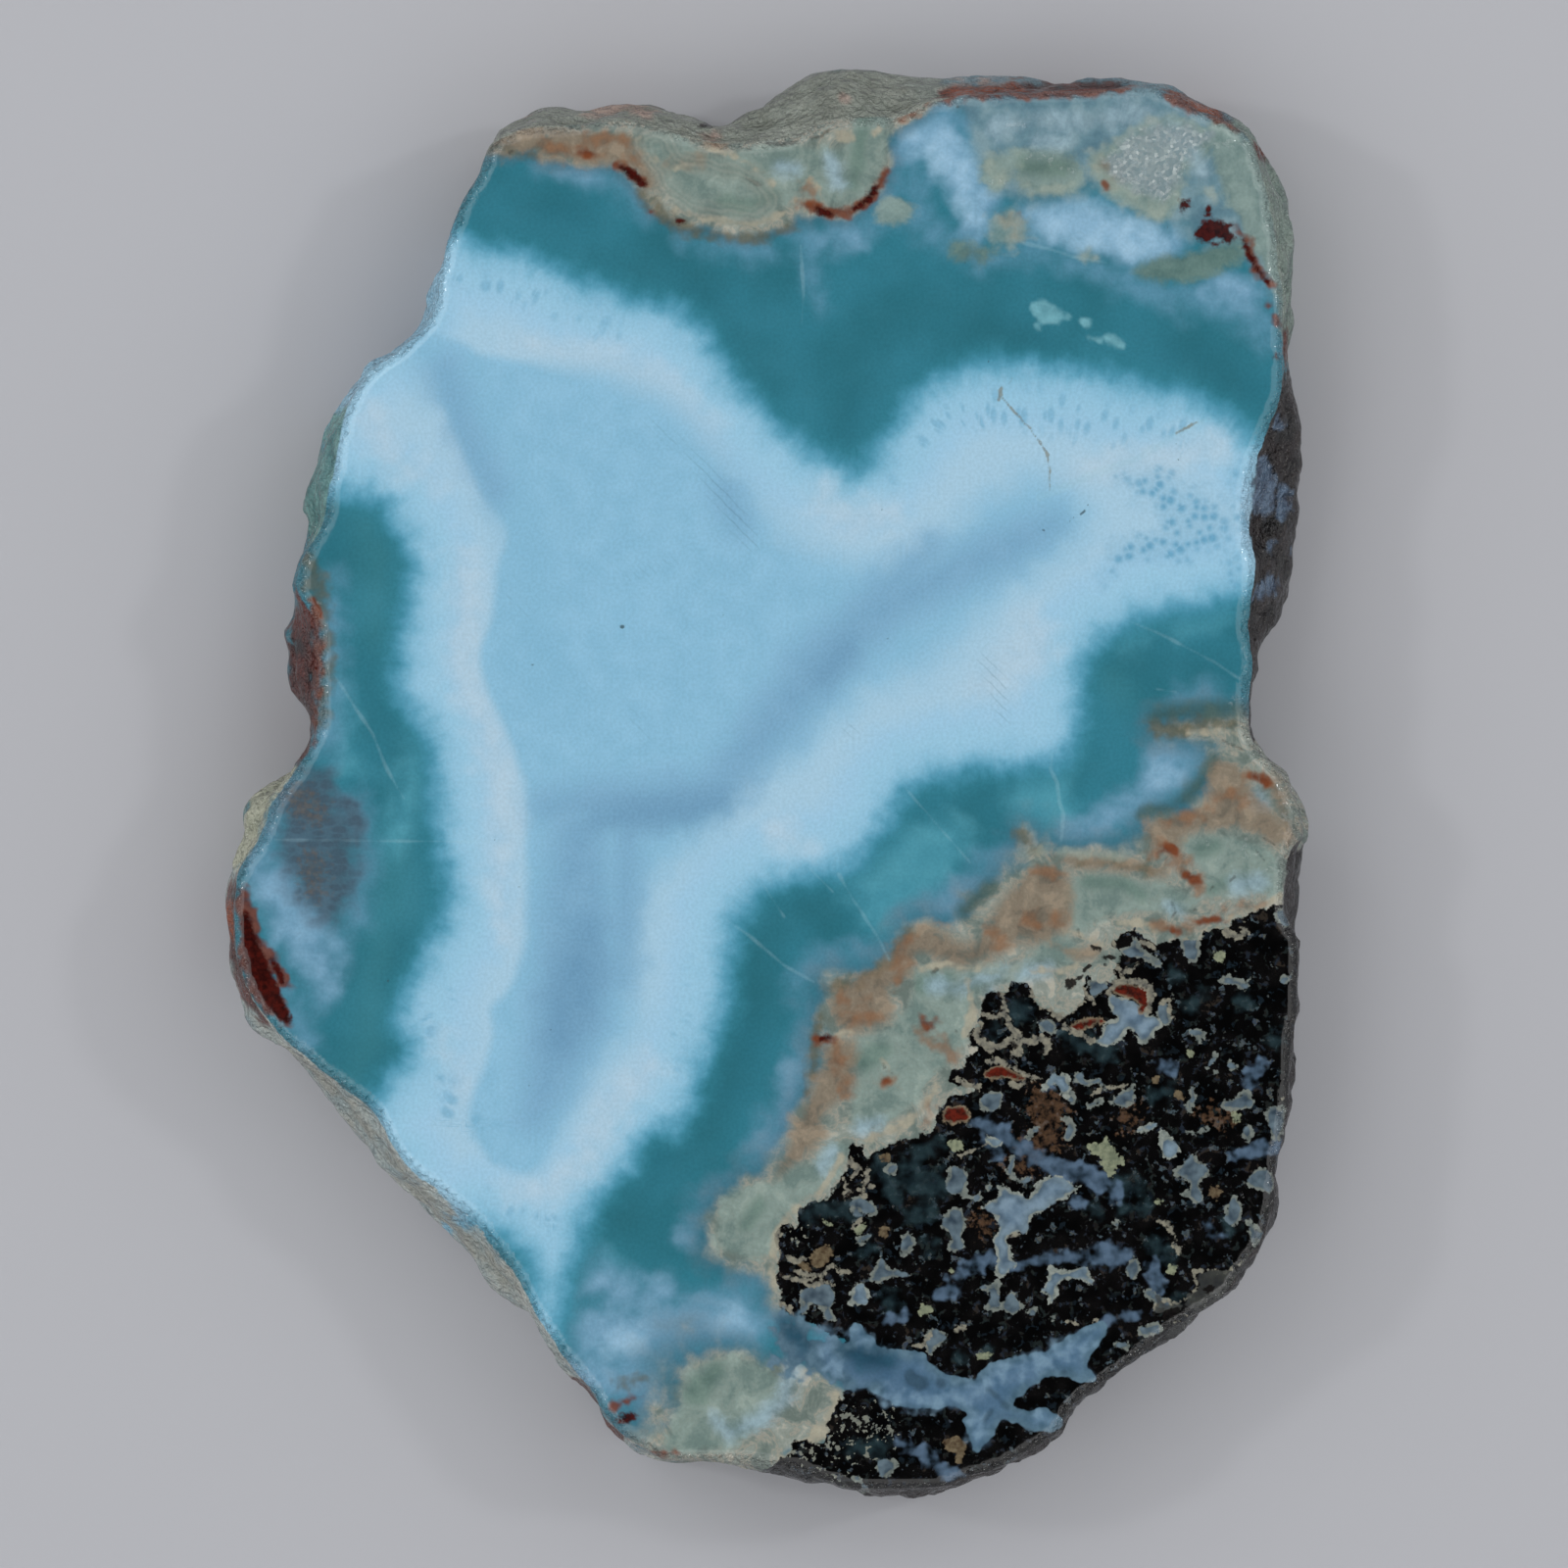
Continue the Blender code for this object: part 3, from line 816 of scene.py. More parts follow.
RED_CLAST = """
o 1134 1010 1145 1004 1160 1006 1170 1010 1172 1022 1168 1028 1155 1018 1140 1013
o 1074 1019 1082 1012 1096 1010 1099 1018 1094 1025 1088 1019 1078 1025
o 1092 1048 1104 1042 1120 1040 1126 1042 1110 1048 1098 1052
o 1004 1096 1012 1091 1022 1089 1034 1094 1046 1100 1040 1102 1028 1098 1015 1100
o 962 1142 966 1132 980 1130 988 1136 985 1143 972 1145
1164 1030 3 1170 1026 3
"""
BROWN_EARTH = """
1065 1125 14 1072 1142 16 1068 1160 12 1040 1188 9
1052 1162 8
1150 1140 10
1234 1138 8
1004 1248 8
1255 1142 6
"""
NET = """
1022 1012 2 1026 1022 2.5 1024 1034 3 1030 1044 3 1034 1052 3 1042 1060 4 1052 1065 3.5 1060 1060 3
1002 1034 2 1012 1038 2.5 1024 1036 2
1000 1046 2 996 1056 3 1004 1066 3 1016 1068 2.5 1030 1062 2 1034 1054 2
1008 1072 2 1018 1069 4 1030 1063 3 1038 1065 4 1040 1074 3.5 1032 1078 3
1056 1058 3 1066 1060 4 1069 1068 3.5 1066 1076 1.5
o 1050 1012 1062 1006 1074 1008 1090 1003 1100 1005 1106 1014 1100 1028 1090 1035 1082 1043 1076 1038
 1070 1030 1060 1027
1086 1046 3 1094 1053 3 1104 1055 3 1113 1061 4
1131 1014 3 1138 1003 3 1150 1001 3 1165 1003 4 1174 1008 4 1175 1020 3 1172 1032 3
1008 1084 3 1020 1082 3 1034 1089 2 1048 1098 2 1062 1100 2
1030 1106 2 1040 1108 3 1046 1104 2
976 1100 2 985 1108 3 998 1109 3
868 1186 4 876 1192 3 870 1200 2
886 1192 2 884 1206 3 890 1212 2
862 1204 1.5 866 1216 2.5 862 1222 1.5
876 1212 1.5 882 1222 2
795 1256 3 791 1270 3 793 1285 2
802 1282 2 812 1287 2.5 822 1285 2
800 1304 2 815 1306 2.5 832 1306 1.5
812 1297 2 826 1301 2.5 840 1298 3 850 1290 2
858 1297 3 866 1298 2
796 1330 2.5 806 1336 2.5 812 1344 1.5
826 1312 3 838 1308 3 848 1312 2
1136 962 1.5 1140 970 2
1124 983 2.5 1134 985 2 1146 992 2.5 1156 990 2 1160 984 1.5
1248 944 3 1254 954 3 1264 955 3 1272 951 3 1268 946 2
1208 956 2 1218 957 2
1165 961 2 1178 967 2
1102 1010 3 1110 1016 2 1116 1024 1.5
1182 1246 1.5 1192 1247 2.5 1196 1256 2 1199 1266 1.5
1197 1268 1.5 1204 1276 2.5 1207 1270 1.5
932 1373 1.5 942 1373 2 950 1360 1
975 1358 1.5 984 1355 1.5
1178 1335 1.5 1186 1328 1.5 1200 1330 1.5 1214 1324 1.5 1222 1312 1.2 1218 1298 1.5 1232 1296 1.5
 1250 1299 1.5 1264 1290 1.5 1276 1281 1.5
1194 1352 1.5 1206 1346 1.5 1216 1338 1.5
1125 1353 2 1117 1348 1.5
1090 1348 1 1100 1352 1.5
980 1180 1.2 996 1172 1.5 1008 1168 1.5
1030 1262 1.2 1042 1258 1.2
878 1244 2 868 1254 1.5
1115 1118 1 1125 1110 1.2 1150 1108 1
1184 1024 1.5 1193 1021 1.5 1194 1034 1.2 1200 1042 1.2
1310 1122 3
1268 940 1
"""
LACE = """
860 1448 12 885 1448 14 905 1458 12
840 1476 8 865 1478 8 890 1486 8
812 1480 4 830 1490 6 850 1504 6
900 1440 6
812 1262 6
"""
PALE_EDGE = """
o 1180 1322 1196 1334 1212 1326 1222 1312 1218 1298 1230 1297 1248 1299 1264 1290 1276 1281 1300 1262
 1330 1262 1290 1330 1240 1370 1196 1380 1196 1356 1214 1344 1206 1334 1186 1340
"""
EDGE_HOLES = """
o 1228 1316 1234 1312 1244 1314 1240 1318 1232 1319
o 1188 1338 1204 1334 1208 1342 1196 1350 1188 1346
"""
CLAY_HOLES = """
o 1086 1000 1094 998 1098 1003 1092 1010 1087 1006
o 1104 990 1110 984 1113 986 1107 992
o 1124 975 1134 974 1138 978 1128 980
1100 998 1.5 1104 996 1
1127 985 1.5
1032 1064 2 1036 1067 2.5
1115 966 2 1122 968 2
"""
tell("filled holes and clasts", SLATE, ZEOLITE, YELLOW_CLAST, TAN_CLAST, RED_CLAST, BROWN_EARTH)
tell("net and holes at the clay", NET, LACE, PALE_EDGE, EDGE_HOLES, CLAY_HOLES)

# %% [markdown]
# Very thin marks are the last ones: hairline cracks, a milky healed fracture, pinhead specks, and the
# scuffs that the lap left. They exist on the show face only.

# %% Hairlines, specks and scuffs
MILKY_CRACKS = """
1155 635 1 1180 645 1.4 1200 655 1.4 1225 668 1.2 1240 676 1 1268 695 0.8
1074 768 1 1072 785 1.2 1079 800 1.2 1081 818 1.2 1085 830 1.2 1083 858 1
335 680 0.8 352 705 1 362 722 1 380 748 1 395 785 1 412 815 0.8
740 938 1 765 955 1.2 800 985 1.2 830 1002 1
856 892 1.2 872 920 1.4 895 955 1.2 908 980 1
280 857 0.8 380 858 1 500 859 0.8
817 250 0.8 820 300 1 818 330 0.8
1060 508 3 1090 495 4 1120 482 4 1160 468 4 1200 444 3 1235 426 2
1045 248 1.2 1070 254 1.2 1095 262 1.2 1130 268 1
920 800 0.8 955 840 1 990 880 0.8
780 905 0.8 800 935 0.8
820 880 0.8 850 910 0.8
1180 703 0.8 1200 706 0.8
660 1010 0.6 700 1100 0.6
"""
BROWN_CRACKS = """
1022 405 0.8 1035 420 1 1050 436 1 1060 450 1.2 1069 463 1.4 1071 480 0.8 1071 500 0.5
1019 408 1.6 1021 398 1.8 1022 395 1
1029 392 0.5 1034 385 0.5
1200 442 0.8 1212 436 1.2 1222 430 0.8
"""
SPECKS = """
1065 541 1.4
1092 532 1.1
1103 525 1.5 1107 521 1.1
1110 515 1
1090 524 0.7
1096 528 0.7
738 628 1.2
900 520 1
530 905 1
505 857 1
396 1001 1.3
540 1108 1
562 1051 1
1202 469 1
1009 369 1
543 678 1.2
635 640 2
1200 453 1
440 1106 0.8
463 1244 1.4
539 1324 2 541 1327 1.6
906 651 1
520 1020 0.8
"""
SCUFFS = """
706 462 9 730 495 12 752 530 13 768 556 10
660 430 6 690 450 8
868 745 10
1005 670 9 1018 700 12 1025 735 9
520 610 5 545 630 5
640 590 5 690 570 6
640 720 5 660 755 6
"""
CELLS_LEFT = """
318 795 18 318 828 36 324 865 42 330 900 34 335 930 16
358 820 8 365 860 10 355 905 8
"""
CELLS_BROWN = """
305 815 14 320 830 12
318 880 12 322 905 10
"""
tell("marks on the show face", MILKY_CRACKS, BROWN_CRACKS, SPECKS, SCUFFS, CELLS_LEFT, CELLS_BROWN)

# %% [markdown]
# The rim shows each rock where it broke, crusted by weather. These strokes lie just past the cut edge and
# are used on the rim only.

# %% Rocks that show on the rim
RIM_CLAY = """
505 130 26 560 112 28 620 105 30 690 120 28 750 132 26 790 112 34 850 95 40 910 92 36 950 92 24
"""
RIM_PINK = """
600 102 8 630 100 10 660 108 8
725 140 8
975 92 12 1010 88 12 1040 85 8
530 112 6
860 95 5
"""
RIM_RED = """
970 94 8 1000 92 9 1030 90 11 1070 86 12 1110 84 12 1150 84 8
1192 98 8 1215 106 12 1240 114 10 1256 120 5
240 905 10 236 935 14 240 965 16 250 995 16 262 1020 14 280 1042 8
590 1418 8 602 1432 8 612 1445 6
1290 160 5 1286 150 5
316 600 8 308 630 16 304 660 16 306 700 18 312 735 10 306 768 12
1316 340 8 1312 365 6
1322 440 8 1318 470 6 1330 545 8
628 1470 8 615 1455 6
"""
RIM_OCHRE = """
975 92 6 1005 90 7 1040 88 6
1192 98 8 1220 108 10 1245 116 6
236 925 6 232 955 8
"""
RIM_WAXY = """
1270 128 16 1300 170 24 1318 230 28 1324 300 26 1322 350 14
"""
RIM_BASALT = """
1315 392 14 1322 430 30 1322 500 46 1320 560 46 1305 620 40 1290 665 24 1285 700 16 1285 740 14
1328 880 16 1336 915 26 1345 960 30 1345 1040 30 1340 1100 30 1330 1180 30 1300 1260 26 1250 1340 26
1180 1420 24 1100 1480 24 1000 1510 20 900 1520 16
720 125 4
"""
RIM_BEIGE = """
236 895 12 228 930 18 230 970 20 244 1005 20 262 1042 22 300 1088 26 340 1132 28 385 1182 30 430 1232 30
480 1282 30 530 1334 28 560 1388 20 588 1425 16 620 1475 16 660 1505 14
"""
RIM_BEIGE_SHADE = """
300 1078 4 345 1125 4 390 1175 5 430 1222 5 470 1262 6 520 1312 5
"""
RIM_LIME = """
292 788 10 266 812 18 250 845 16 240 875 12
"""
RIM_TEAL = """
350 430 14 325 480 26 310 515 22 322 545 12
"""
RIM_ZEOLITE = """
1306 430 7
1290 480 12 1292 510 14
1312 500 8 1314 520 9
1300 596 10 1285 605 7
1330 560 5
1300 555 6
"""
tell("rocks on the rim", RIM_CLAY, RIM_PINK, RIM_RED, RIM_OCHRE, RIM_WAXY, RIM_BASALT, RIM_BEIGE)
tell("more rocks on the rim", RIM_BEIGE_SHADE, RIM_LIME, RIM_TEAL, RIM_ZEOLITE)

# %% [markdown]
# ## The stone's mesh
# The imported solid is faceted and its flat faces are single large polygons, so it can't carry relief or
# markings. A voxel remesh covers it with small even quads and rounds the sawn edge as a lap does. The
# flat back needs few of them, so they are merged there. On the show face they are cut finer wherever a
# marking has a crisp edge, and finer again right at that edge.

# %% Remesh the slab
VOXEL = 0.46
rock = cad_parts["larimar_slab"]
stone = bpy.data.objects.new("larimar_stone", rock.data.copy())
bpy.context.collection.objects.link(stone)
voxels = stone.modifiers.new("voxels", "REMESH")
voxels.mode = "VOXEL"
voxels.voxel_size = VOXEL / 1000
graph = bpy.context.evaluated_depsgraph_get()
even_mesh = bpy.data.meshes.new_from_object(stone.evaluated_get(graph))
stone.modifiers.clear()
stone.data = even_mesh


def positions(mesh):
    """The mesh's points as an array, in millimetres."""
    flat = np.empty(len(mesh.vertices) * 3)
    mesh.vertices.foreach_get("co", flat)
    return flat.reshape(-1, 3) * 1000


def triangles(mesh):
    """How many triangles the mesh makes."""
    return sum(len(face.vertices) - 2 for face in mesh.polygons)


print("even mesh:", len(even_mesh.vertices), "points,", triangles(even_mesh), "triangles")

# %% Merge the quads of the flat back
BACK_STEPS, BACK_LEVEL = 2, 0.00001
work = bmesh.new()
work.from_mesh(even_mesh)
back_points = [point for point in work.verts if point.co.z < BACK_LEVEL]
bmesh.ops.unsubdivide(work, verts=back_points, iterations=BACK_STEPS)
work.to_mesh(even_mesh)
work.free()
print("with a coarser back:", len(even_mesh.vertices), "points,", triangles(even_mesh), "triangles")


# %% Cut the show face finer round crisp markings
def cut_finer(mesh, chosen):
    """Halves every edge whose two ends are both chosen."""
    work = bmesh.new()
    work.from_mesh(mesh)
    work.verts.ensure_lookup_table()
    edges = [edge for edge in work.edges if chosen[edge.verts[0].index] and chosen[edge.verts[1].index]]
    bmesh.ops.subdivide_edges(work, edges=edges, cuts=1, use_grid_fill=True)
    work.to_mesh(mesh)
    work.free()


WALL_MARGIN, LINE_MARGIN, EDGE_MARGIN, FACE_SLACK = 0.4, 0.45, 0.17, 0.02
WALLS = (WALL_TOP_LEFT, MISTY_WALL, WALL_TAN, WALL_FOOT)
LINES = (HAEMATITE, RUST, DARK_LINES_AND_EDGE_SHADE, SPECKS, BROWN_CRACKS, MILKY_CRACKS, CLOUDLETS)
FILLINGS = (NET, ZEOLITE, SLATE, YELLOW_CLAST, TAN_CLAST, RED_CLAST, EDGE_HOLES, CLAY_HOLES, VEIN_SHADE)
points = positions(even_mesh)
sheet = points[:, :2]
near_marking = inside_contour(sheet, BASALT)[0] > -WALL_MARGIN
for drawing in WALLS:
    near_marking |= inside_contour(sheet, drawing)[0] > -WALL_MARGIN
for drawing in LINES:
    near_marking |= inside_drawing(sheet, drawing) > -LINE_MARGIN
cut_finer(even_mesh, near_marking & (points[:, 2] > FACE_HEIGHT - FACE_SLACK))
points = positions(even_mesh)
sheet = points[:, :2]
at_edge = np.abs(inside_contour(sheet, BASALT)[0]) < EDGE_MARGIN
at_edge |= np.abs(inside_contour(sheet, BLUE_VEIN)[0]) < EDGE_MARGIN
for drawing in LINES + FILLINGS:
    at_edge |= np.abs(inside_drawing(sheet, drawing)) < EDGE_MARGIN
cut_finer(even_mesh, at_edge & (points[:, 2] > FACE_HEIGHT - FACE_SLACK))
print("refined mesh:", len(even_mesh.vertices), "points,", triangles(even_mesh), "triangles")

# %% [markdown]
# The sawn faces stay flat. On the rim every rock breaks in its own way: basalt in round knobs, clay in
# soft ledges, fibrous larimar in fine steps. Noises of those sizes push the rim's points outwards and
# inwards. The relief grows from nothing at the cut edge, and the edge itself only gets the tiny nicks
# that a saw leaves.

# %% Break the rim
KNOB_SIZE, KNOB_HEIGHT = 1.9, 0.5
LEDGE_SIZE, LEDGE_HEIGHT = 2.6, 0.35
GRAIN_SIZE, GRAIN_HEIGHT = 0.9, 0.09
NICK_SIZE, NICK_HEIGHT = 0.6, 0.1
RELIEF_START, RELIEF_FULL = 0.15, 1.2
SIDEWAYS, KNOB_BLEND, LEDGE_SQUEEZE, GRAIN_OCTAVES = 0.2, 0.8, 2.2, 3

points = positions(even_mesh)
normals = np.empty(len(points) * 3)
even_mesh.vertices.foreach_get("normal", normals)
normals = normals.reshape(-1, 3)
from_saw = np.minimum(FACE_HEIGHT - points[:, 2], points[:, 2])
growth = np.clip((from_saw - RELIEF_START) / (RELIEF_FULL - RELIEF_START), 0, 1)
on_edge = (from_saw < RELIEF_START) & (np.hypot(normals[:, 0], normals[:, 1]) > SIDEWAYS)
basalt_distance, _ = inside_contour(points[:, :2], BASALT)
rim_basalt = inside_drawing(points[:, :2], RIM_BASALT)
knobby = np.clip(np.maximum(basalt_distance, rim_basalt) / KNOB_BLEND + 0.5, 0, 1)
moved = points.copy()
for i in np.flatnonzero((growth > 0) | on_edge):
    spot = Vector(points[i])
    if on_edge[i]:
        push = NICK_HEIGHT * noise.noise(spot / NICK_SIZE)
        moved[i, :2] += push * normals[i, :2]
        continue
    knobs = 0.5 - noise.voronoi(spot / KNOB_SIZE)[0][0]
    ledges = noise.noise(Vector((spot.x, spot.y, spot.z * LEDGE_SQUEEZE)) / LEDGE_SIZE)
    grain = noise.fractal(spot / GRAIN_SIZE, 1.0, 2.0, GRAIN_OCTAVES)
    push = growth[i] * (knobby[i] * KNOB_HEIGHT * knobs + (1 - knobby[i]) * LEDGE_HEIGHT * ledges
                        + GRAIN_HEIGHT * grain)
    moved[i] += push * normals[i]
moved[:, 2] = np.clip(moved[:, 2], 0, FACE_HEIGHT)
even_mesh.vertices.foreach_set("co", (moved / 1000).ravel())
even_mesh.polygons.foreach_set("use_smooth", [True] * len(even_mesh.polygons))
even_mesh.update()
print("largest push on the rim, mm:", round(float(np.abs(moved - points).max()), 2))

# %% [markdown]
# Each drawing is now measured at every point of the mesh and kept there as an attribute. Below the show
# face the drawings drift sideways, because no zone runs straight down through a slab, so the rim and the
# back show their own version of the pattern. That noise of directions starts from the clock unless it
# gets a seed, and with one each run gives the same stone. The renderer reads an attribute of three
# numbers as quickly as one number, so three drawings share each attribute.

# %% Measure the drawings on the mesh
DRIFT, DRIFT_SIZE, DRIFT_SEED = 6.4, 16.0, 7
CORE_SOFT, TAN_SOFT = 0.45, 2
MARK_FADE, GLINT_FADE = 4, 0.5
RIM_START, BACK_START = 0.35, 0.3


def soften(distance, crisp_x, soft_x, times):
    """Makes an edge softer towards one side: there its distances are that many times smaller."""
    share = np.clip((flat[:, 0] - crisp_x) / (soft_x - crisp_x), 0, 1)
    return distance / (1 + (times - 1) * share)


points = positions(even_mesh)
depth = np.clip(FACE_HEIGHT - points[:, 2], 0, FACE_HEIGHT)
noise.seed_set(DRIFT_SEED)
drift = np.array([noise.noise_vector(Vector(spot) / DRIFT_SIZE)[:2] for spot in points])
flat = points[:, :2] + DRIFT * (depth / FACE_HEIGHT)[:, None] * drift
rim = np.clip(np.minimum(depth, points[:, 2]) / RIM_START, 0, 1)
distances = {}
distances["pale"], distances["pale_along"] = inside_contour(flat, PALE_HEART)
core = inside_contour(flat, SKY_CORE)[0] / CORE_SOFT
distances["core"] = soften(core, crisp_x=-15.5, soft_x=-9.0, times=3.8)
vein = inside_contour(flat, BLUE_VEIN)[0]
distances["blue_vein"] = soften(vein, crisp_x=6.0, soft_x=1.0, times=6.0)
for name, drawing in {"basalt": BASALT, "lens": LENS, "druse": DRUSE, "misty_wall": MISTY_WALL}.items():
    distances[name], _ = inside_contour(flat, drawing)
top_left = inside_contour(flat, WALL_TOP_LEFT)[0]
tan = inside_contour(flat, WALL_TAN)[0] / TAN_SOFT
foot = soften(inside_contour(flat, WALL_FOOT)[0], crisp_x=0.0, soft_x=-5.0, times=4.0)
distances["wall"] = np.max([top_left, tan, foot], axis=0)
for name, drawing in {
        "dusty": DUSTY, "dusk": DUSK, "chalk": CHALK, "blue_shade": BLUE_SHADE, "flecks": FLECKS,
        "dots": DOTS, "teal_deep": TEAL_DEEP, "teal_bright": TEAL_BRIGHT, "teal_green": TEAL_GREEN,
        "haze": HAZE, "lavender": LAVENDER, "milk": MILK, "cloudlets": CLOUDLETS, "umber": UMBER,
        "olive_teal": OLIVE_TEAL, "sage": SAGE, "moss": MOSS, "pale_blue": PALE_BLUE, "tan": TAN,
        "cream": CREAM, "ochre": OCHRE, "pale_rim": PALE_RIM, "rust": RUST, "haematite": HAEMATITE,
        "dark_lines_and_edge_shade": DARK_LINES_AND_EDGE_SHADE, "vein_eye": VEIN_EYE, "vein_milk": VEIN_MILK, "vein_shade": VEIN_SHADE,
        "dim_vein": DIM_VEIN, "dim_teal": DIM_TEAL, "slate": SLATE, "zeolite": ZEOLITE,
        "yellow_clast": YELLOW_CLAST, "tan_clast": TAN_CLAST, "red_clast": RED_CLAST,
        "brown_earth": BROWN_EARTH, "net": NET, "lace": LACE, "pale_edge": PALE_EDGE,
        "edge_holes": EDGE_HOLES, "clay_holes": CLAY_HOLES, "cells_left": CELLS_LEFT,
        "cells_brown": CELLS_BROWN}.items():
    distances[name] = inside_drawing(flat, drawing)
for name, drawing in {"milky_cracks": MILKY_CRACKS, "brown_cracks": BROWN_CRACKS, "specks": SPECKS,
                      "scuffs": SCUFFS}.items():
    distances[name] = inside_drawing(points[:, :2], drawing) - MARK_FADE * depth
distances["glints"] = inside_drawing(points[:, :2], GLINTS) - GLINT_FADE * depth
for name, drawing in {
        "rim_clay": RIM_CLAY, "rim_pink": RIM_PINK, "rim_red": RIM_RED, "rim_waxy": RIM_WAXY,
        "rim_ochre": RIM_OCHRE, "rim_basalt": RIM_BASALT, "rim_beige": RIM_BEIGE,
        "rim_shade": RIM_BEIGE_SHADE, "rim_lime": RIM_LIME, "rim_teal": RIM_TEAL,
        "rim_zeolite": RIM_ZEOLITE}.items():
    distances[name] = inside_drawing(points[:, :2], drawing) - REACH * (1 - rim)
distances["rim"] = rim
distances["back"] = np.clip(1 - points[:, 2] / BACK_START, 0, 1)
names = list(distances)
for first in range(0, len(names), 3):
    triple = np.zeros((len(points), 3), np.float32)
    for k, name in enumerate(names[first:first + 3]):
        triple[:, k] = distances[name]
    layer = even_mesh.attributes.new("drawings_%d" % first, "FLOAT_VECTOR", "POINT")
    layer.data.foreach_set("vector", triple.ravel())
print(len(names), "drawings measured at", len(points), "points")

# %% [markdown]
# ## The material: sawn and wetted larimar
# One stone, one material. It starts as teal pectolite, and every drawing is laid over it in turn, as the
# rock itself was made: clouds first, then zones, walls, iron stains, basalt, and last the scuffs and the
# crust of the rim. Each layer has two tones that a noise mixes, and an edge that a noise frays.

# %% Helpers for the material
material = bpy.data.materials.new("sawn_wet_larimar")
material.use_nodes = True
tree = material.node_tree
tree.nodes.clear()


def linear(colour):
    """An sRGB hex colour as the linear colour that a shader works with."""
    parts = [int(colour[i:i + 2], 16) / 255 for i in (1, 3, 5)]
    return [part / 12.92 if part <= 0.04045 else ((part + 0.055) / 1.055) ** 2.4 for part in parts] + [1.0]


def add(kind, links=None, stops=(), **settings):
    """Adds one node, with its settings and its links or values by input, and returns its outputs. The stops
    are those of a colour ramp, each a place and an sRGB hex colour."""
    node = tree.nodes.new("ShaderNode" + kind)
    for name, value in settings.items():
        setattr(node, name, value)
    for name, value in (links or {}).items():
        if isinstance(value, bpy.types.NodeSocket):
            tree.links.new(value, node.inputs[name])
        else:
            node.inputs[name].default_value = value
    for i, (position, tone) in enumerate(stops):
        stop = node.color_ramp.elements[i] if i < 2 else node.color_ramp.elements.new(position)
        stop.position = position
        stop.color = linear(tone)
    return node.outputs


# %% Read the drawings back
drawn = {}
for first in range(0, len(names), 3):
    triple = add("Attribute", attribute_name="drawings_%d" % first)["Vector"]
    parts = add("SeparateXYZ", {0: triple})
    for k, name in enumerate(names[first:first + 3]):
        drawn[name] = parts[k]
print(len(drawn), "drawings read back")

# %% [markdown]
# The noises are set by real sizes. Clouds in the stone are about 5 mm across, tufts of fibre about 1.6
# mm, lumps 0.85 mm and grit 0.35 mm. The fibres run in from the pale heart's edge, so their noise is
# stretched across that edge. The altered walls are marbled, by a rough noise that is bent a little.
#
# Each layer is laid on with a soft mask. Its smooth step never leaves its range, so that node isn't
# clamped: a clamp would be one more value for the renderer to hold at once, for every layer, and it can't
# hold so many.

# %% Noises, by their size in millimetres
object_place = add("TexCoord")["Object"]
place = add("VectorMath", {0: object_place, 1: (1000.0, 1000.0, 1000.0)}, operation="MULTIPLY")[0]
coordinates = add("SeparateXYZ", {0: place})
LEAN, FIBRE_SQUEEZE = 0.45, 0.22
leaning_x = add("Math", {0: coordinates[2], 1: LEAN, 2: coordinates[0]}, operation="MULTIPLY_ADD")[0]
leaning_y = add("Math", {0: coordinates[2], 1: -LEAN, 2: coordinates[1]}, operation="MULTIPLY_ADD")[0]
leaning = add("CombineXYZ", {0: leaning_x, 1: leaning_y})[0]
squeezed_depth = add("Math", {0: drawn["pale"], 1: FIBRE_SQUEEZE}, operation="MULTIPLY")[0]
across = add("CombineXYZ", {0: drawn["pale_along"], 1: squeezed_depth})[0]
SIZES = {"cloud": (5.0, 2.0, 0.5, 0.0, place), "tuft": (1.6, 2.0, 0.5, 0.0, place),
         "lump": (0.85, 1.5, 0.5, 0.0, place), "grit": (0.35, 2.0, 0.5, 0.0, place),
         "fibre": (0.6, 2.0, 0.5, 0.0, across), "marble": (1.9, 4.0, 0.62, 0.25, leaning),
         "clast": (0.62, 3.0, 0.6, 0.3, leaning)}
FRAY_GAIN = 3.2
frays, tones = {}, {}
for name, (size, detail, roughness, warp, vector) in SIZES.items():
    raw = add("TexNoise", {"Vector": vector, "Scale": 1 / size, "Detail": detail, "Roughness": roughness,
                           "Distortion": warp}, noise_dimensions="3D" if vector == place else "2D")[0]
    low, high = 0.5 - 0.5 / FRAY_GAIN, 0.5 + 0.5 / FRAY_GAIN
    frays[name] = add("MapRange", {0: raw, 1: low, 2: high, 3: -1.0, 4: 1.0}, clamp=False)[0]
    tones[name] = add("MapRange", {0: raw, 1: 0.35, 2: 0.65})[0]


def soft_mask(name, grain, fray, low, high, strength=1.0):
    """How much a drawing covers: nothing at the low distance inside it, the strength at the high one. A
    noise frays its edge."""
    frayed = add("Math", {0: frays[grain], 1: fray, 2: drawn[name]}, operation="MULTIPLY_ADD")[0]
    return add("MapRange", {0: frayed, 1: low, 2: high, 4: strength},
               interpolation_type="SMOOTHSTEP", clamp=False)[0]


def paint(colour, layers):
    """Lays layers over a colour. Each has its drawing, edge and softness in mm, fray in mm, the noise that
    frays it, two tones and a strength."""
    for name, edge, soft, fray, grain, first, second, strength in layers:
        mask = soft_mask(name, grain, fray, edge - soft, edge + soft, strength)
        tone = add("Mix", {0: tones[grain], 6: linear(first), 7: linear(second)}, data_type="RGBA")[2]
        colour = add("Mix", {0: mask, 6: colour, 7: tone}, data_type="RGBA")[2]
    return colour


print("noises:", ", ".join(SIZES))

# %% [markdown]
# The teal is dense pectolite. Its drawn clouds are soft, and a fine dark grain runs all through it.

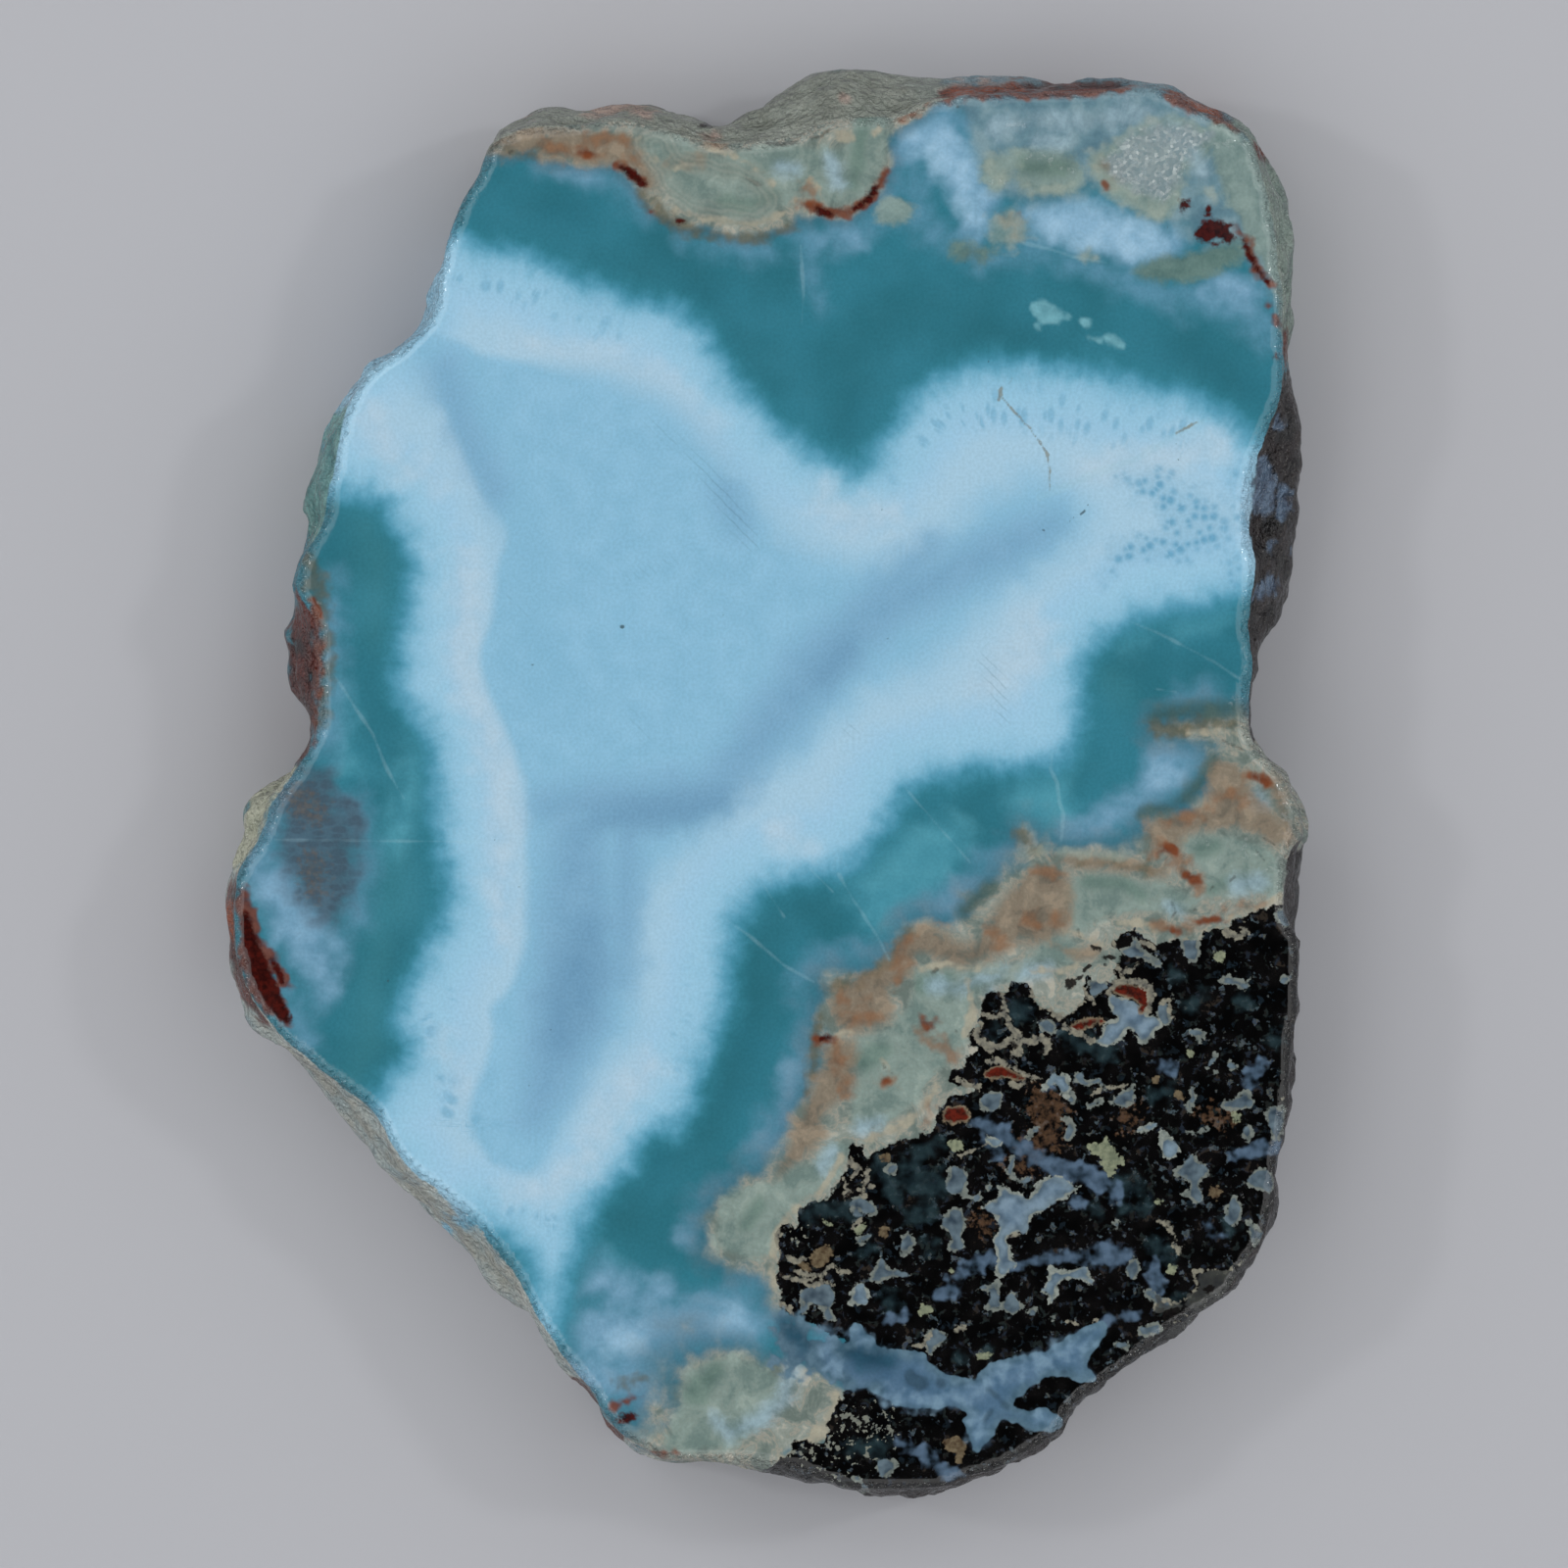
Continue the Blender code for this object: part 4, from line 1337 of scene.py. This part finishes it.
# %% Teal and haze
TEAL_LAYERS = [
    ("teal_green", 0.0, 1.5, 0.3, "cloud", "#387a87", "#3d808f", 0.75),
    ("teal_deep", 0.0, 1.5, 0.3, "cloud", "#286673", "#2a6c7c", 0.85),
    ("teal_bright", 0.0, 1.2, 0.3, "tuft", "#4b93a6", "#559eb0", 0.75),
    ("haze", 0.0, 1.0, 0.25, "tuft", "#4d8499", "#5c8fa8", 0.85),
    ("lavender", 0.0, 1.1, 0.3, "tuft", "#6b97b2", "#7fa8c3", 0.9),
    ("milk", 0.0, 0.9, 0.25, "tuft", "#8cb4ce", "#a0c4db", 0.9),
    ("cloudlets", 0.0, 0.2, 0.12, "lump", "#639aa6", "#74adb9", 0.9),
]
teal = add("Mix", {0: tones["cloud"], 6: linear("#2c6e7d"), 7: linear("#33798b")}, data_type="RGBA")[2]
colour = paint(teal, TEAL_LAYERS)
print("with the teal:", len(tree.nodes), "nodes")

# %% [markdown]
# The pale heart is one continuous change of colour inwards from its edge, so it is one ramp over the
# distance from its contour, in cloudy steps. Fine fibres and grain break the ramp up a little.

# %% The pale heart
RAMP_START, RAMP_END = -2.4, 4.4
HEART_COLOURS = [(-2.4, "#2e7587"), (-1.6, "#347c8e"), (-1.0, "#448ba2"), (-0.5, "#5a9cb6"),
                 (0.0, "#74aec8"), (0.4, "#86bad3"), (0.8, "#90c0d9"), (1.5, "#97c5dd"),
                 (2.8, "#9cc6df"), (4.2, "#a4c8dd")]
heart_depth = drawn["pale"]
for grain, fray in {"tuft": 0.24, "grit": 0.05, "fibre": 0.07}.items():
    heart_depth = add("Math", {0: frays[grain], 1: fray, 2: heart_depth}, operation="MULTIPLY_ADD")[0]
heart_place = add("MapRange", {0: heart_depth, 1: RAMP_START, 2: RAMP_END})[0]
heart_stops = [((at - RAMP_START) / (RAMP_END - RAMP_START), tone) for at, tone in HEART_COLOURS]
heart_colour = add("ValToRGB", {0: heart_place}, heart_stops)[0]
heart_mask = add("MapRange", {0: heart_depth, 1: -2.6, 2: -0.7},
                 interpolation_type="SMOOTHSTEP", clamp=False)[0]
colour = add("Mix", {0: heart_mask, 6: colour, 7: heart_colour}, data_type="RGBA")[2]
HEART_LAYERS = [
    ("chalk", 0.0, 1.2, 0.4, "tuft", "#aac6d8", "#b4cddd", 0.75),
    ("core", 0.0, 1.0, 0.2, "tuft", "#86b8d3", "#8cbdd8", 1.0),
    ("blue_shade", 0.0, 2.0, 0.4, "cloud", "#7fb3cf", "#84b7d2", 0.75),
    ("dusty", 0.0, 1.6, 0.4, "tuft", "#74a1c0", "#7ba8c6", 0.85),
    ("dusk", 0.0, 1.3, 0.4, "tuft", "#6693b3", "#6d9ab9", 0.75),
]
colour = paint(colour, HEART_LAYERS)
print("with the heart:", len(tree.nodes), "nodes")

# %% [markdown]
# Two patches of the vein are cellular: fibre sprays seen end on. A Voronoi pattern gives the cells, flat
# and wide at the left edge, small and round at the right. Flecks of the same kind, drawn out along the
# fibres, lie near the heart's edge.

# %% Cells, dots and flecks
CELL_SIZE, DOT_SIZE, FLECK_SIZE = 0.6, 0.68, 0.75
CELL_STRETCH, CELL_SQUEEZE, FLECK_STRETCH, RAGGEDNESS = 0.62, 1.3, 0.48, 0.25
flat_x = add("Math", {0: leaning_x, 1: CELL_STRETCH}, operation="MULTIPLY")[0]
flat_y = add("Math", {0: leaning_y, 1: CELL_SQUEEZE}, operation="MULTIPLY")[0]
flattened = add("CombineXYZ", {0: flat_x, 1: flat_y})[0]
fleck_depth = add("Math", {0: drawn["pale"], 1: FLECK_STRETCH}, operation="MULTIPLY")[0]
fleck_place = add("CombineXYZ", {0: drawn["pale_along"], 1: fleck_depth})[0]
for name, vector, size, outer, inner, ground, spot, ground_share, spot_share in [
        ("cells_left", flattened, CELL_SIZE, 0.6, 0.28, "#607988", "#3f4f5d", 0.8, 0.9),
        ("dots", leaning, DOT_SIZE, 0.62, 0.02, "#88b9d3", "#5496b8", 0.4, 0.85),
        ("flecks", fleck_place, FLECK_SIZE, 0.45, 0.1, "#88b8d1", "#6ba5c4", 0.15, 0.7)]:
    cells = add("TexVoronoi", {"Vector": vector, "Scale": 1 / size}, voronoi_dimensions="2D")
    chance = add("SeparateColor", {0: cells["Color"]})[0]
    ragged = add("Math", {0: chance, 1: RAGGEDNESS, 2: cells[0]}, operation="MULTIPLY_ADD")[0]
    shape = add("MapRange", {0: ragged, 1: outer + 0.12, 2: inner + 0.12, 3: ground_share, 4: spot_share},
                interpolation_type="SMOOTHSTEP", clamp=False)[0]
    tone = add("Mix", {0: shape, 6: linear(ground), 7: linear(spot)}, data_type="RGBA")[2]
    zone = soft_mask(name, "tuft", 0.5, -0.8, 1.0)
    mask = add("Math", {0: zone, 1: shape}, operation="MULTIPLY")[0]
    colour = add("Mix", {0: mask, 6: colour, 7: tone}, data_type="RGBA")[2]
colour = paint(colour, [("cells_brown", 0.2, 0.9, 0.5, "grit", "#4b4642", "#64594e", 0.6)])
print("with the cells, dots and flecks:", len(tree.nodes), "nodes")

# %% [markdown]
# The altered walls are marbled in sage, grey-green and cream. At the top right the wall is dissolved in
# the vein, so it is bluer and its edge is a soft mist.

# %% Altered walls and their iron stains
WALL_LAYERS = [
    ("umber", 0.0, 0.4, 0.25, "lump", "#4e4a35", "#5f5840", 0.65),
    ("olive_teal", 0.0, 0.45, 0.25, "tuft", "#355050", "#445d59", 0.8),
    ("sage", 0.0, 0.35, 0.25, "marble", "#6c817c", "#8a9d96", 0.85),
    ("moss", 0.0, 0.45, 0.25, "marble", "#546d66", "#6b837a", 0.85),
    ("pale_blue", 0.0, 0.6, 0.25, "marble", "#7b949f", "#97b1bd", 0.8),
    ("tan", 0.0, 0.55, 0.4, "marble", "#67594b", "#887661", 0.75),
    ("pale_rim", 0.0, 0.4, 0.25, "lump", "#81948d", "#9aa59a", 0.6),
    ("cream", 0.0, 0.16, 0.15, "lump", "#928f80", "#aca692", 0.75),
    ("ochre", 0.0, 0.45, 0.3, "lump", "#6f523d", "#875f42", 0.65),
    ("rust", 0.0, 0.25, 0.2, "lump", "#55200f", "#713619", 0.85),
    ("haematite", 0.0, 0.16, 0.1, "grit", "#240302", "#430e08", 0.97),
    # These dark lines include painted shade along the cut edge and under a lump of the rim.
    ("dark_lines_and_edge_shade", 0.02, 0.09, 0.05, "grit", "#2f3231", "#3d3b35", 0.6),
]
MARBLE_TONES = [(0.0, "#67746e"), (0.3, "#7a857e"), (0.5, "#98968a"), (0.6, "#828b83"), (0.85, "#929991"),
                (1.0, "#a9a79a")]
wall_tone = add("ValToRGB", {0: tones["marble"]}, MARBLE_TONES)[0]
colour = paint(colour, [("wall", -0.6, 0.5, 0.25, "tuft", "#43687a", "#56737f", 0.6)])
wall_mask = soft_mask("wall", "tuft", 0.2, -0.35, 0.35)
colour = add("Mix", {0: wall_mask, 6: colour, 7: wall_tone}, data_type="RGBA")[2]
misty_tone = add("ValToRGB", {0: tones["tuft"]}, [(0.0, "#577886"), (0.5, "#658692"), (1.0, "#7b97a0")])[0]
misty_mask = soft_mask("misty_wall", "tuft", 0.35, -0.7, 0.9)
colour = add("Mix", {0: misty_mask, 6: colour, 7: misty_tone}, data_type="RGBA")[2]
colour = paint(colour, WALL_LAYERS)
print("with the walls:", len(tree.nodes), "nodes")

# %% [markdown]
# The clay lens at the top is banded like agate, parallel to its lower edge, and only close to it. The
# druse beside the misty wall is a patch of tiny crystals, each about 0.2 mm across.

# %% Bands of the clay lens, and the druse
BAND_WIDTH, BANDED_DEPTH, FULL_TURN = 0.42, 1.9, 6.2832
lens_wave = add("Math", {0: frays["tuft"], 1: 0.16, 2: drawn["lens"]}, operation="MULTIPLY_ADD")[0]
lens_phase = add("Math", {0: lens_wave, 1: FULL_TURN / BAND_WIDTH}, operation="MULTIPLY")[0]
lens_bands = add("Math", {0: lens_phase}, operation="SINE")[0]
lens_tone = add("MapRange", {0: lens_bands, 1: -1.0, 2: 1.0})[0]
lens_colour = add("Mix", {0: lens_tone, 6: linear("#6f7b73"), 7: linear("#8a8f86")}, data_type="RGBA")[2]
lens_inside = add("MapRange", {0: lens_wave, 1: 0.0, 2: 0.5, 4: 0.45})[0]
lens_fade = add("MapRange", {0: lens_wave, 1: BANDED_DEPTH, 2: BANDED_DEPTH / 2})[0]
lens_mask = add("Math", {0: lens_inside, 1: lens_fade}, operation="MULTIPLY")[0]
colour = add("Mix", {0: lens_mask, 6: colour, 7: lens_colour}, data_type="RGBA")[2]
CRYSTAL_SIZE = 0.2
crystals = add("TexVoronoi", {"Vector": leaning, "Scale": 1 / CRYSTAL_SIZE}, voronoi_dimensions="2D")
crystal_chance = add("SeparateColor", {0: crystals["Color"]})
CRYSTAL_TONES = [(0.0, "#788b91"), (0.6, "#869498"), (0.9, "#929fa1"), (1.0, "#b4bfc0")]
crystal_tone = add("ValToRGB", {0: crystal_chance[0]}, CRYSTAL_TONES)[0]
druse_mask = soft_mask("druse", "lump", 0.25, -0.3, 0.5, 0.85)
colour = add("Mix", {0: druse_mask, 6: colour, 7: crystal_tone}, data_type="RGBA")[2]
print("with the lens and the druse:", len(tree.nodes), "nodes")

# %% [markdown]
# The basalt has its own painting: black ground, then dim grains of feldspar and zeolite about 0.6 mm
# across and brighter shreds about 0.35 mm across, then veins, clasts and the larger filled holes. The
# cream rim of a hole is the same drawing laid twice, the second time a little smaller.

# %% Grains of the basalt
DIM_TONES = [(0.0, "#162129"), (0.3, "#0e1418"), (0.45, "#212928"), (0.6, "#1a1715"), (0.75, "#1e2834"),
             (1.0, "#2c2620")]
SHRED_TONES = [(0.0, "#49585f"), (0.35, "#2e3840"), (0.55, "#585b53"), (0.7, "#344053"), (1.0, "#4d5659")]
basalt_colour = add("Mix", {0: tones["tuft"], 6: linear("#000000"), 7: linear("#040303")},
                    data_type="RGBA")[2]
ragged = add("Math", {0: frays["grit"], 1: 0.8, 2: frays["lump"]}, operation="MULTIPLY_ADD")[0]
for field, low, high, strength, tints, grain_tones in [
        (frays["clast"], 0.4, 0.8, 0.85, tones["tuft"], DIM_TONES),
        (ragged, 1.0, 1.35, 0.8, tones["clast"], SHRED_TONES)]:
    mask = add("MapRange", {0: field, 1: low, 2: high, 4: strength})[0]
    tone = add("ValToRGB", {0: tints}, grain_tones)[0]
    basalt_colour = add("Mix", {0: mask, 6: basalt_colour, 7: tone}, data_type="RGBA")[2]
print("with the basalt's grains:", len(tree.nodes), "nodes")

# %% Veins, clasts and filled holes of the basalt
BASALT_LAYERS = [
    ("brown_earth", 0.0, 0.35, 0.6, "grit", "#17110e", "#5c4533", 0.7),
    ("dim_teal", 0.0, 0.5, 0.35, "lump", "#17262c", "#26383d", 0.8),
    ("dim_vein", 0.0, 0.25, 0.3, "lump", "#2b3c4b", "#586e85", 0.85),
    ("lace", 0.85, 0.15, 1.1, "grit", "#444d53", "#808378", 0.85),
    ("tan_clast", 0.0, 0.06, 0.12, "grit", "#4e4030", "#726650", 0.9),
    ("yellow_clast", 0.0, 0.06, 0.12, "grit", "#6a725f", "#8a9077", 0.95),
    ("slate", 0.0, 0.05, 0.12, "grit", "#5c6563", "#7a817b", 0.9),
    ("slate", 0.13, 0.07, 0.14, "lump", "#34424e", "#60717b", 1.0),
    ("zeolite", 0.0, 0.05, 0.12, "grit", "#6e7773", "#909790", 0.95),
    ("zeolite", 0.14, 0.08, 0.14, "lump", "#4d6070", "#6f828d", 1.0),
    ("zeolite", 0.45, 0.25, 0.15, "lump", "#5f7689", "#7a90a1", 0.9),
    ("red_clast", -0.1, 0.08, 0.1, "grit", "#6c604f", "#8a7c66", 0.85),
    ("red_clast", 0.03, 0.1, 0.08, "grit", "#2d0905", "#5c160a", 0.97),
    ("net", 0.0, 0.06, 0.12, "grit", "#5f5f59", "#8a8778", 0.92),
    ("pale_edge", 0.0, 0.08, 0.2, "lump", "#323435", "#414340", 0.8),
    ("edge_holes", 0.0, 0.06, 0.1, "grit", "#090807", "#141110", 0.95),
]
basalt_colour = paint(basalt_colour, BASALT_LAYERS)
basalt_frayed = drawn["basalt"]
for grain, fray in {"grit": 0.1, "lump": 0.12}.items():
    basalt_frayed = add("Math", {0: frays[grain], 1: fray, 2: basalt_frayed}, operation="MULTIPLY_ADD")[0]
basalt_mask = add("MapRange", {0: basalt_frayed, 1: -0.05, 2: 0.05})[0]
colour = add("Mix", {0: basalt_mask, 6: colour, 7: basalt_colour}, data_type="RGBA")[2]
print("with the basalt:", len(tree.nodes), "nodes")

# %% [markdown]
# The blue vein cuts through the basalt and its clay edge, so it is laid over both. The scuffs of the lap
# are thin lines out of a wave texture, which repeats every 0.314 mm at a scale of 1, so its scale comes
# from their spacing.

# %% The blue vein through the basalt, and the finest marks
LAST_LAYERS = [
    ("clay_holes", 0.0, 0.06, 0.08, "grit", "#0b0908", "#1c1816", 0.95),
    ("blue_vein", 0.0, 0.07, 0.12, "lump", "#425d6e", "#5c7889", 1.0),
    ("blue_vein", 0.5, 0.5, 0.3, "tuft", "#41617c", "#55728c", 0.9),
    ("vein_milk", 0.0, 0.5, 0.35, "lump", "#5d7b94", "#7390a5", 0.9),
    ("vein_eye", 0.0, 0.6, 0.3, "tuft", "#1b3d4f", "#285165", 0.9),
    ("vein_shade", 0.0, 0.2, 0.12, "lump", "#283c4b", "#344c5c", 0.7),
    ("milky_cracks", 0.0, 0.09, 0.05, "tuft", "#8dbccb", "#a5cbd6", 0.17),
    ("brown_cracks", 0.0, 0.06, 0.04, "grit", "#5d563f", "#7d7557", 0.65),
    ("specks", 0.0, 0.05, 0.03, "grit", "#33454c", "#41565c", 0.85),
]
colour = paint(colour, LAST_LAYERS)
SCUFF_SPACING, WAVE_PERIOD = 0.34, 0.314
scuff_line = add("TexWave", {"Vector": place, "Scale": WAVE_PERIOD / SCUFF_SPACING, "Distortion": 1.2,
                             "Detail": 1.0, "Detail Scale": 1.0}, bands_direction="DIAGONAL")["Fac"]
scuff_thin = add("MapRange", {0: scuff_line, 1: 0.8, 2: 1.0})[0]
scuff_zone = add("MapRange", {0: drawn["scuffs"], 1: -0.3, 2: 0.8, 4: 0.28},
                 interpolation_type="SMOOTHSTEP", clamp=False)[0]
scuff_mask = add("Math", {0: scuff_thin, 1: scuff_zone}, operation="MULTIPLY")[0]
colour = add("Mix", {0: scuff_mask, 6: colour, 7: linear("#4d6f80")}, data_type="RGBA")[2]
print("with the blue vein and the fine marks:", len(tree.nodes), "nodes")

# %% [markdown]
# Pectolite is never quite even: it is made of fine grains, some a little darker and some lighter. One
# last grain in the whole show face stands for them. It is 0.2 mm wide, coarser than the real 0.1 mm, so
# that it shows.

# %% Fine grain
SPECKLE_SIZE, SPECKLE_DARK, SPECKLE_LIGHT = 0.2, 0.94, 1.05
speckle = add("TexNoise", {"Vector": leaning, "Scale": 1 / SPECKLE_SIZE, "Detail": 1.0},
              noise_dimensions="2D")[0]
speckle_gain = add("MapRange", {0: speckle, 1: 0.25, 2: 0.75, 3: SPECKLE_DARK, 4: SPECKLE_LIGHT})[0]
colour = add("HueSaturation", {"Value": speckle_gain, "Color": colour})[0]
print("with the fine grain:", len(tree.nodes), "nodes")

# %% [markdown]
# The rim is coated: waxy sage clay, beige crust, a red iron skin, lime, and dark basalt. Under a film of
# water these colours lie in smooth patches.

# %% The rim and the back
RIM_LAYERS = [
    ("rim_teal", 0.0, 0.4, 0.4, "tuft", "#3f7472", "#6c9a94", 0.9),
    ("rim_beige", 0.0, 0.4, 0.4, "tuft", "#94a09f", "#b6b9b1", 0.9),
    ("rim_shade", 0.0, 0.4, 0.5, "tuft", "#858d88", "#96988f", 0.8),
    ("rim_lime", 0.0, 0.4, 0.4, "tuft", "#a0a28c", "#bdbda6", 0.9),
    ("rim_clay", 0.0, 0.5, 0.4, "tuft", "#747a70", "#8c9389", 0.9),
    ("rim_pink", 0.0, 0.4, 0.4, "tuft", "#8f7468", "#a98e82", 0.8),
    ("rim_waxy", 0.0, 0.4, 0.4, "tuft", "#66786f", "#87968b", 0.9),
    ("rim_red", 0.0, 0.35, 0.4, "tuft", "#280703", "#5a1d0d", 0.95),
    ("rim_ochre", 0.0, 0.35, 0.3, "tuft", "#6a2d14", "#88462a", 0.95),
    ("rim_basalt", 0.0, 0.2, 0.4, "tuft", "#030202", "#1a0e0d", 1.0),
    ("rim_zeolite", 0.0, 0.25, 0.2, "lump", "#35465c", "#5b7189", 0.95),
]
DUST_SHARE = 0.3
colour = paint(colour, RIM_LAYERS)
dust = add("Math", {0: drawn["back"], 1: DUST_SHARE}, operation="MULTIPLY")[0]
colour = add("Mix", {0: dust, 6: colour, 7: linear("#a9b3b4")}, data_type="RGBA")[2]
print("with the rim and the back:", len(tree.nodes), "nodes")

# %% [markdown]
# The show face is lapped and wet, so it is glossy. The rim is rough rock under a thin film of water,
# which gives it small wet glints. In the druse and at a few other places tiny crystal faces stand out and
# sparkle. The back is a dry saw cut with fine parallel marks. Larimar's refractive index is about 1.6.

# %% Relief and gloss
RIM_BUMP, EDGE_BUMP, CRYSTAL_BUMP = 0.13, 0.11, 0.035
SAW_BUMP, SAW_SPACING = 0.05, 0.45
LAPPED_LOW, LAPPED_HIGH, RIM_ROUGH, CRYSTAL_ROUGH, SAWN_ROUGH = 0.08, 0.16, 0.16, 0.07, 0.55
LARIMAR_IOR = 1.6
saw = add("TexWave", {"Vector": place, "Scale": WAVE_PERIOD / SAW_SPACING, "Distortion": 0.8,
                      "Detail": 1.0}, bands_direction="X")["Fac"]
saw_height = add("Math", {0: saw, 1: SAW_BUMP}, operation="MULTIPLY")[0]
saw_height = add("Math", {0: saw_height, 1: drawn["back"]}, operation="MULTIPLY")[0]
rim_height = add("Math", {0: frays["lump"], 1: RIM_BUMP}, operation="MULTIPLY")[0]
height = add("Math", {0: rim_height, 1: drawn["rim"], 2: saw_height}, operation="MULTIPLY_ADD")[0]
edge_zone = add("MapRange", {0: drawn["rim"], 1: 0.02, 2: 0.3, 4: EDGE_BUMP})[0]
height = add("Math", {0: frays["grit"], 1: edge_zone, 2: height}, operation="MULTIPLY_ADD")[0]
sparkling = add("Math", {0: drawn["glints"], 1: drawn["druse"]}, operation="MAXIMUM")[0]
sparkle_zone = add("MapRange", {0: sparkling, 1: -0.05, 2: 0.1})[0]
standing = add("MapRange", {0: crystal_chance[1], 1: 0.6, 2: 0.7, 4: CRYSTAL_BUMP})[0]
facet = add("MapRange", {0: crystals[0], 1: 0.0, 2: 0.6, 3: standing, 4: 0.0}, clamp=False)[0]
height = add("Math", {0: facet, 1: sparkle_zone, 2: height}, operation="MULTIPLY_ADD")[0]
relief = add("Bump", {"Strength": 1.0, "Distance": 0.001, "Height": height})[0]
roughness = add("MapRange", {0: tones["tuft"], 3: LAPPED_LOW, 4: LAPPED_HIGH})[0]
for zone, value in [(drawn["rim"], RIM_ROUGH), (sparkle_zone, CRYSTAL_ROUGH), (drawn["back"], SAWN_ROUGH)]:
    roughness = add("Mix", {0: zone, 2: roughness, 3: value})[0]
surface = add("BsdfPrincipled", {"Base Color": colour, "Roughness": roughness, "IOR": LARIMAR_IOR,
                                 "Normal": relief})[0]
add("OutputMaterial", {"Surface": surface})
even_mesh.materials.clear()
even_mesh.materials.append(material)
print("material:", len(tree.nodes), "nodes")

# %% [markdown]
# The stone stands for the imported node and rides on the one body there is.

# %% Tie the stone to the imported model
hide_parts("larimar_slab")
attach(stone, "root")

# %% [markdown]
# ## Floor, light and camera
# The stone lies on its sawn back on a plain pale floor. A wet flat face seen from straight above mirrors
# what is above it, so nothing bright hangs there. Large dim softboxes at the sides light the face evenly
# without a hard line on the rounded edge, and two small lamps give the crystals and the wet rim their
# glints.

# %% Floor
floor_mesh = bpy.data.meshes.new("floor")
FLOOR_HALF = 2.0
corners = [(-FLOOR_HALF, -FLOOR_HALF, 0), (FLOOR_HALF, -FLOOR_HALF, 0),
           (FLOOR_HALF, FLOOR_HALF, 0), (-FLOOR_HALF, FLOOR_HALF, 0)]
floor_mesh.from_pydata(corners, [], [(0, 1, 2, 3)])
floor = bpy.data.objects.new("floor", floor_mesh)
bpy.context.collection.objects.link(floor)
paper = bpy.data.materials.new("pale_matt_paper")
paper.use_nodes = True
paper_shader = paper.node_tree.nodes["Principled BSDF"]
paper_shader.inputs["Base Color"].default_value = linear("#b2b3b8")
paper_shader.inputs["Roughness"].default_value = 0.9
paper_shader.inputs["Specular IOR Level"].default_value = 0.1
floor_mesh.materials.append(paper)
print("floor:", 2 * FLOOR_HALF, "m square")

# %% Light
BOX, SPOT, ROOM_LIGHT = 1.3, 0.06, 0.05
LAMPS = [("softbox_left", (-0.7, 0.1, 0.56), BOX, 5.6), ("softbox_right", (0.7, 0.05, 0.56), BOX, 5.1),
         ("softbox_top", (0.05, 0.72, 0.6), BOX, 3.3), ("softbox_bottom", (-0.05, -0.72, 0.6), BOX, 4.8),
         ("glint_lamp_left", (-0.5, 0.12, 0.5), SPOT, 0.5),
         ("glint_lamp_right", (0.5, 0.16, 0.5), SPOT, 0.5)]
for name, location, size, power in LAMPS:
    lamp = bpy.data.lights.new(name, "AREA")
    lamp.size = size
    lamp.energy = power
    holder = bpy.data.objects.new(name, lamp)
    holder.location = location
    holder.rotation_euler = (-Vector(location)).to_track_quat("-Z", "Y").to_euler()
    bpy.context.collection.objects.link(holder)
world = bpy.data.worlds.new("dim_room")
world.use_nodes = True
background = world.node_tree.nodes["Background"]
background.inputs["Color"].default_value = linear("#b9bdc4")
background.inputs["Strength"].default_value = ROOM_LIGHT
bpy.context.scene.world = world
bpy.context.scene.view_settings.view_transform = "Standard"
print("lamps:", len(LAMPS))

# %% Camera
CAMERA_HEIGHT, SENSOR, LENS_LENGTH, FAR_END = 0.5, 36.0, 180.5, 10.0
SHEET_CENTRE = (800, 800)
camera_data = bpy.data.cameras.new("camera")
camera_data.sensor_width = SENSOR
camera_data.lens = LENS_LENGTH
camera_data.clip_end = FAR_END
camera = bpy.data.objects.new("camera", camera_data)
view_centre = to_mm([SHEET_CENTRE])[0] / 1000
camera.location = (view_centre[0], view_centre[1], CAMERA_HEIGHT + FACE_HEIGHT / 1000)
bpy.context.collection.objects.link(camera)
bpy.context.scene.camera = camera
print("camera above", [round(float(v) * 1000, 1) for v in camera.location], "mm")
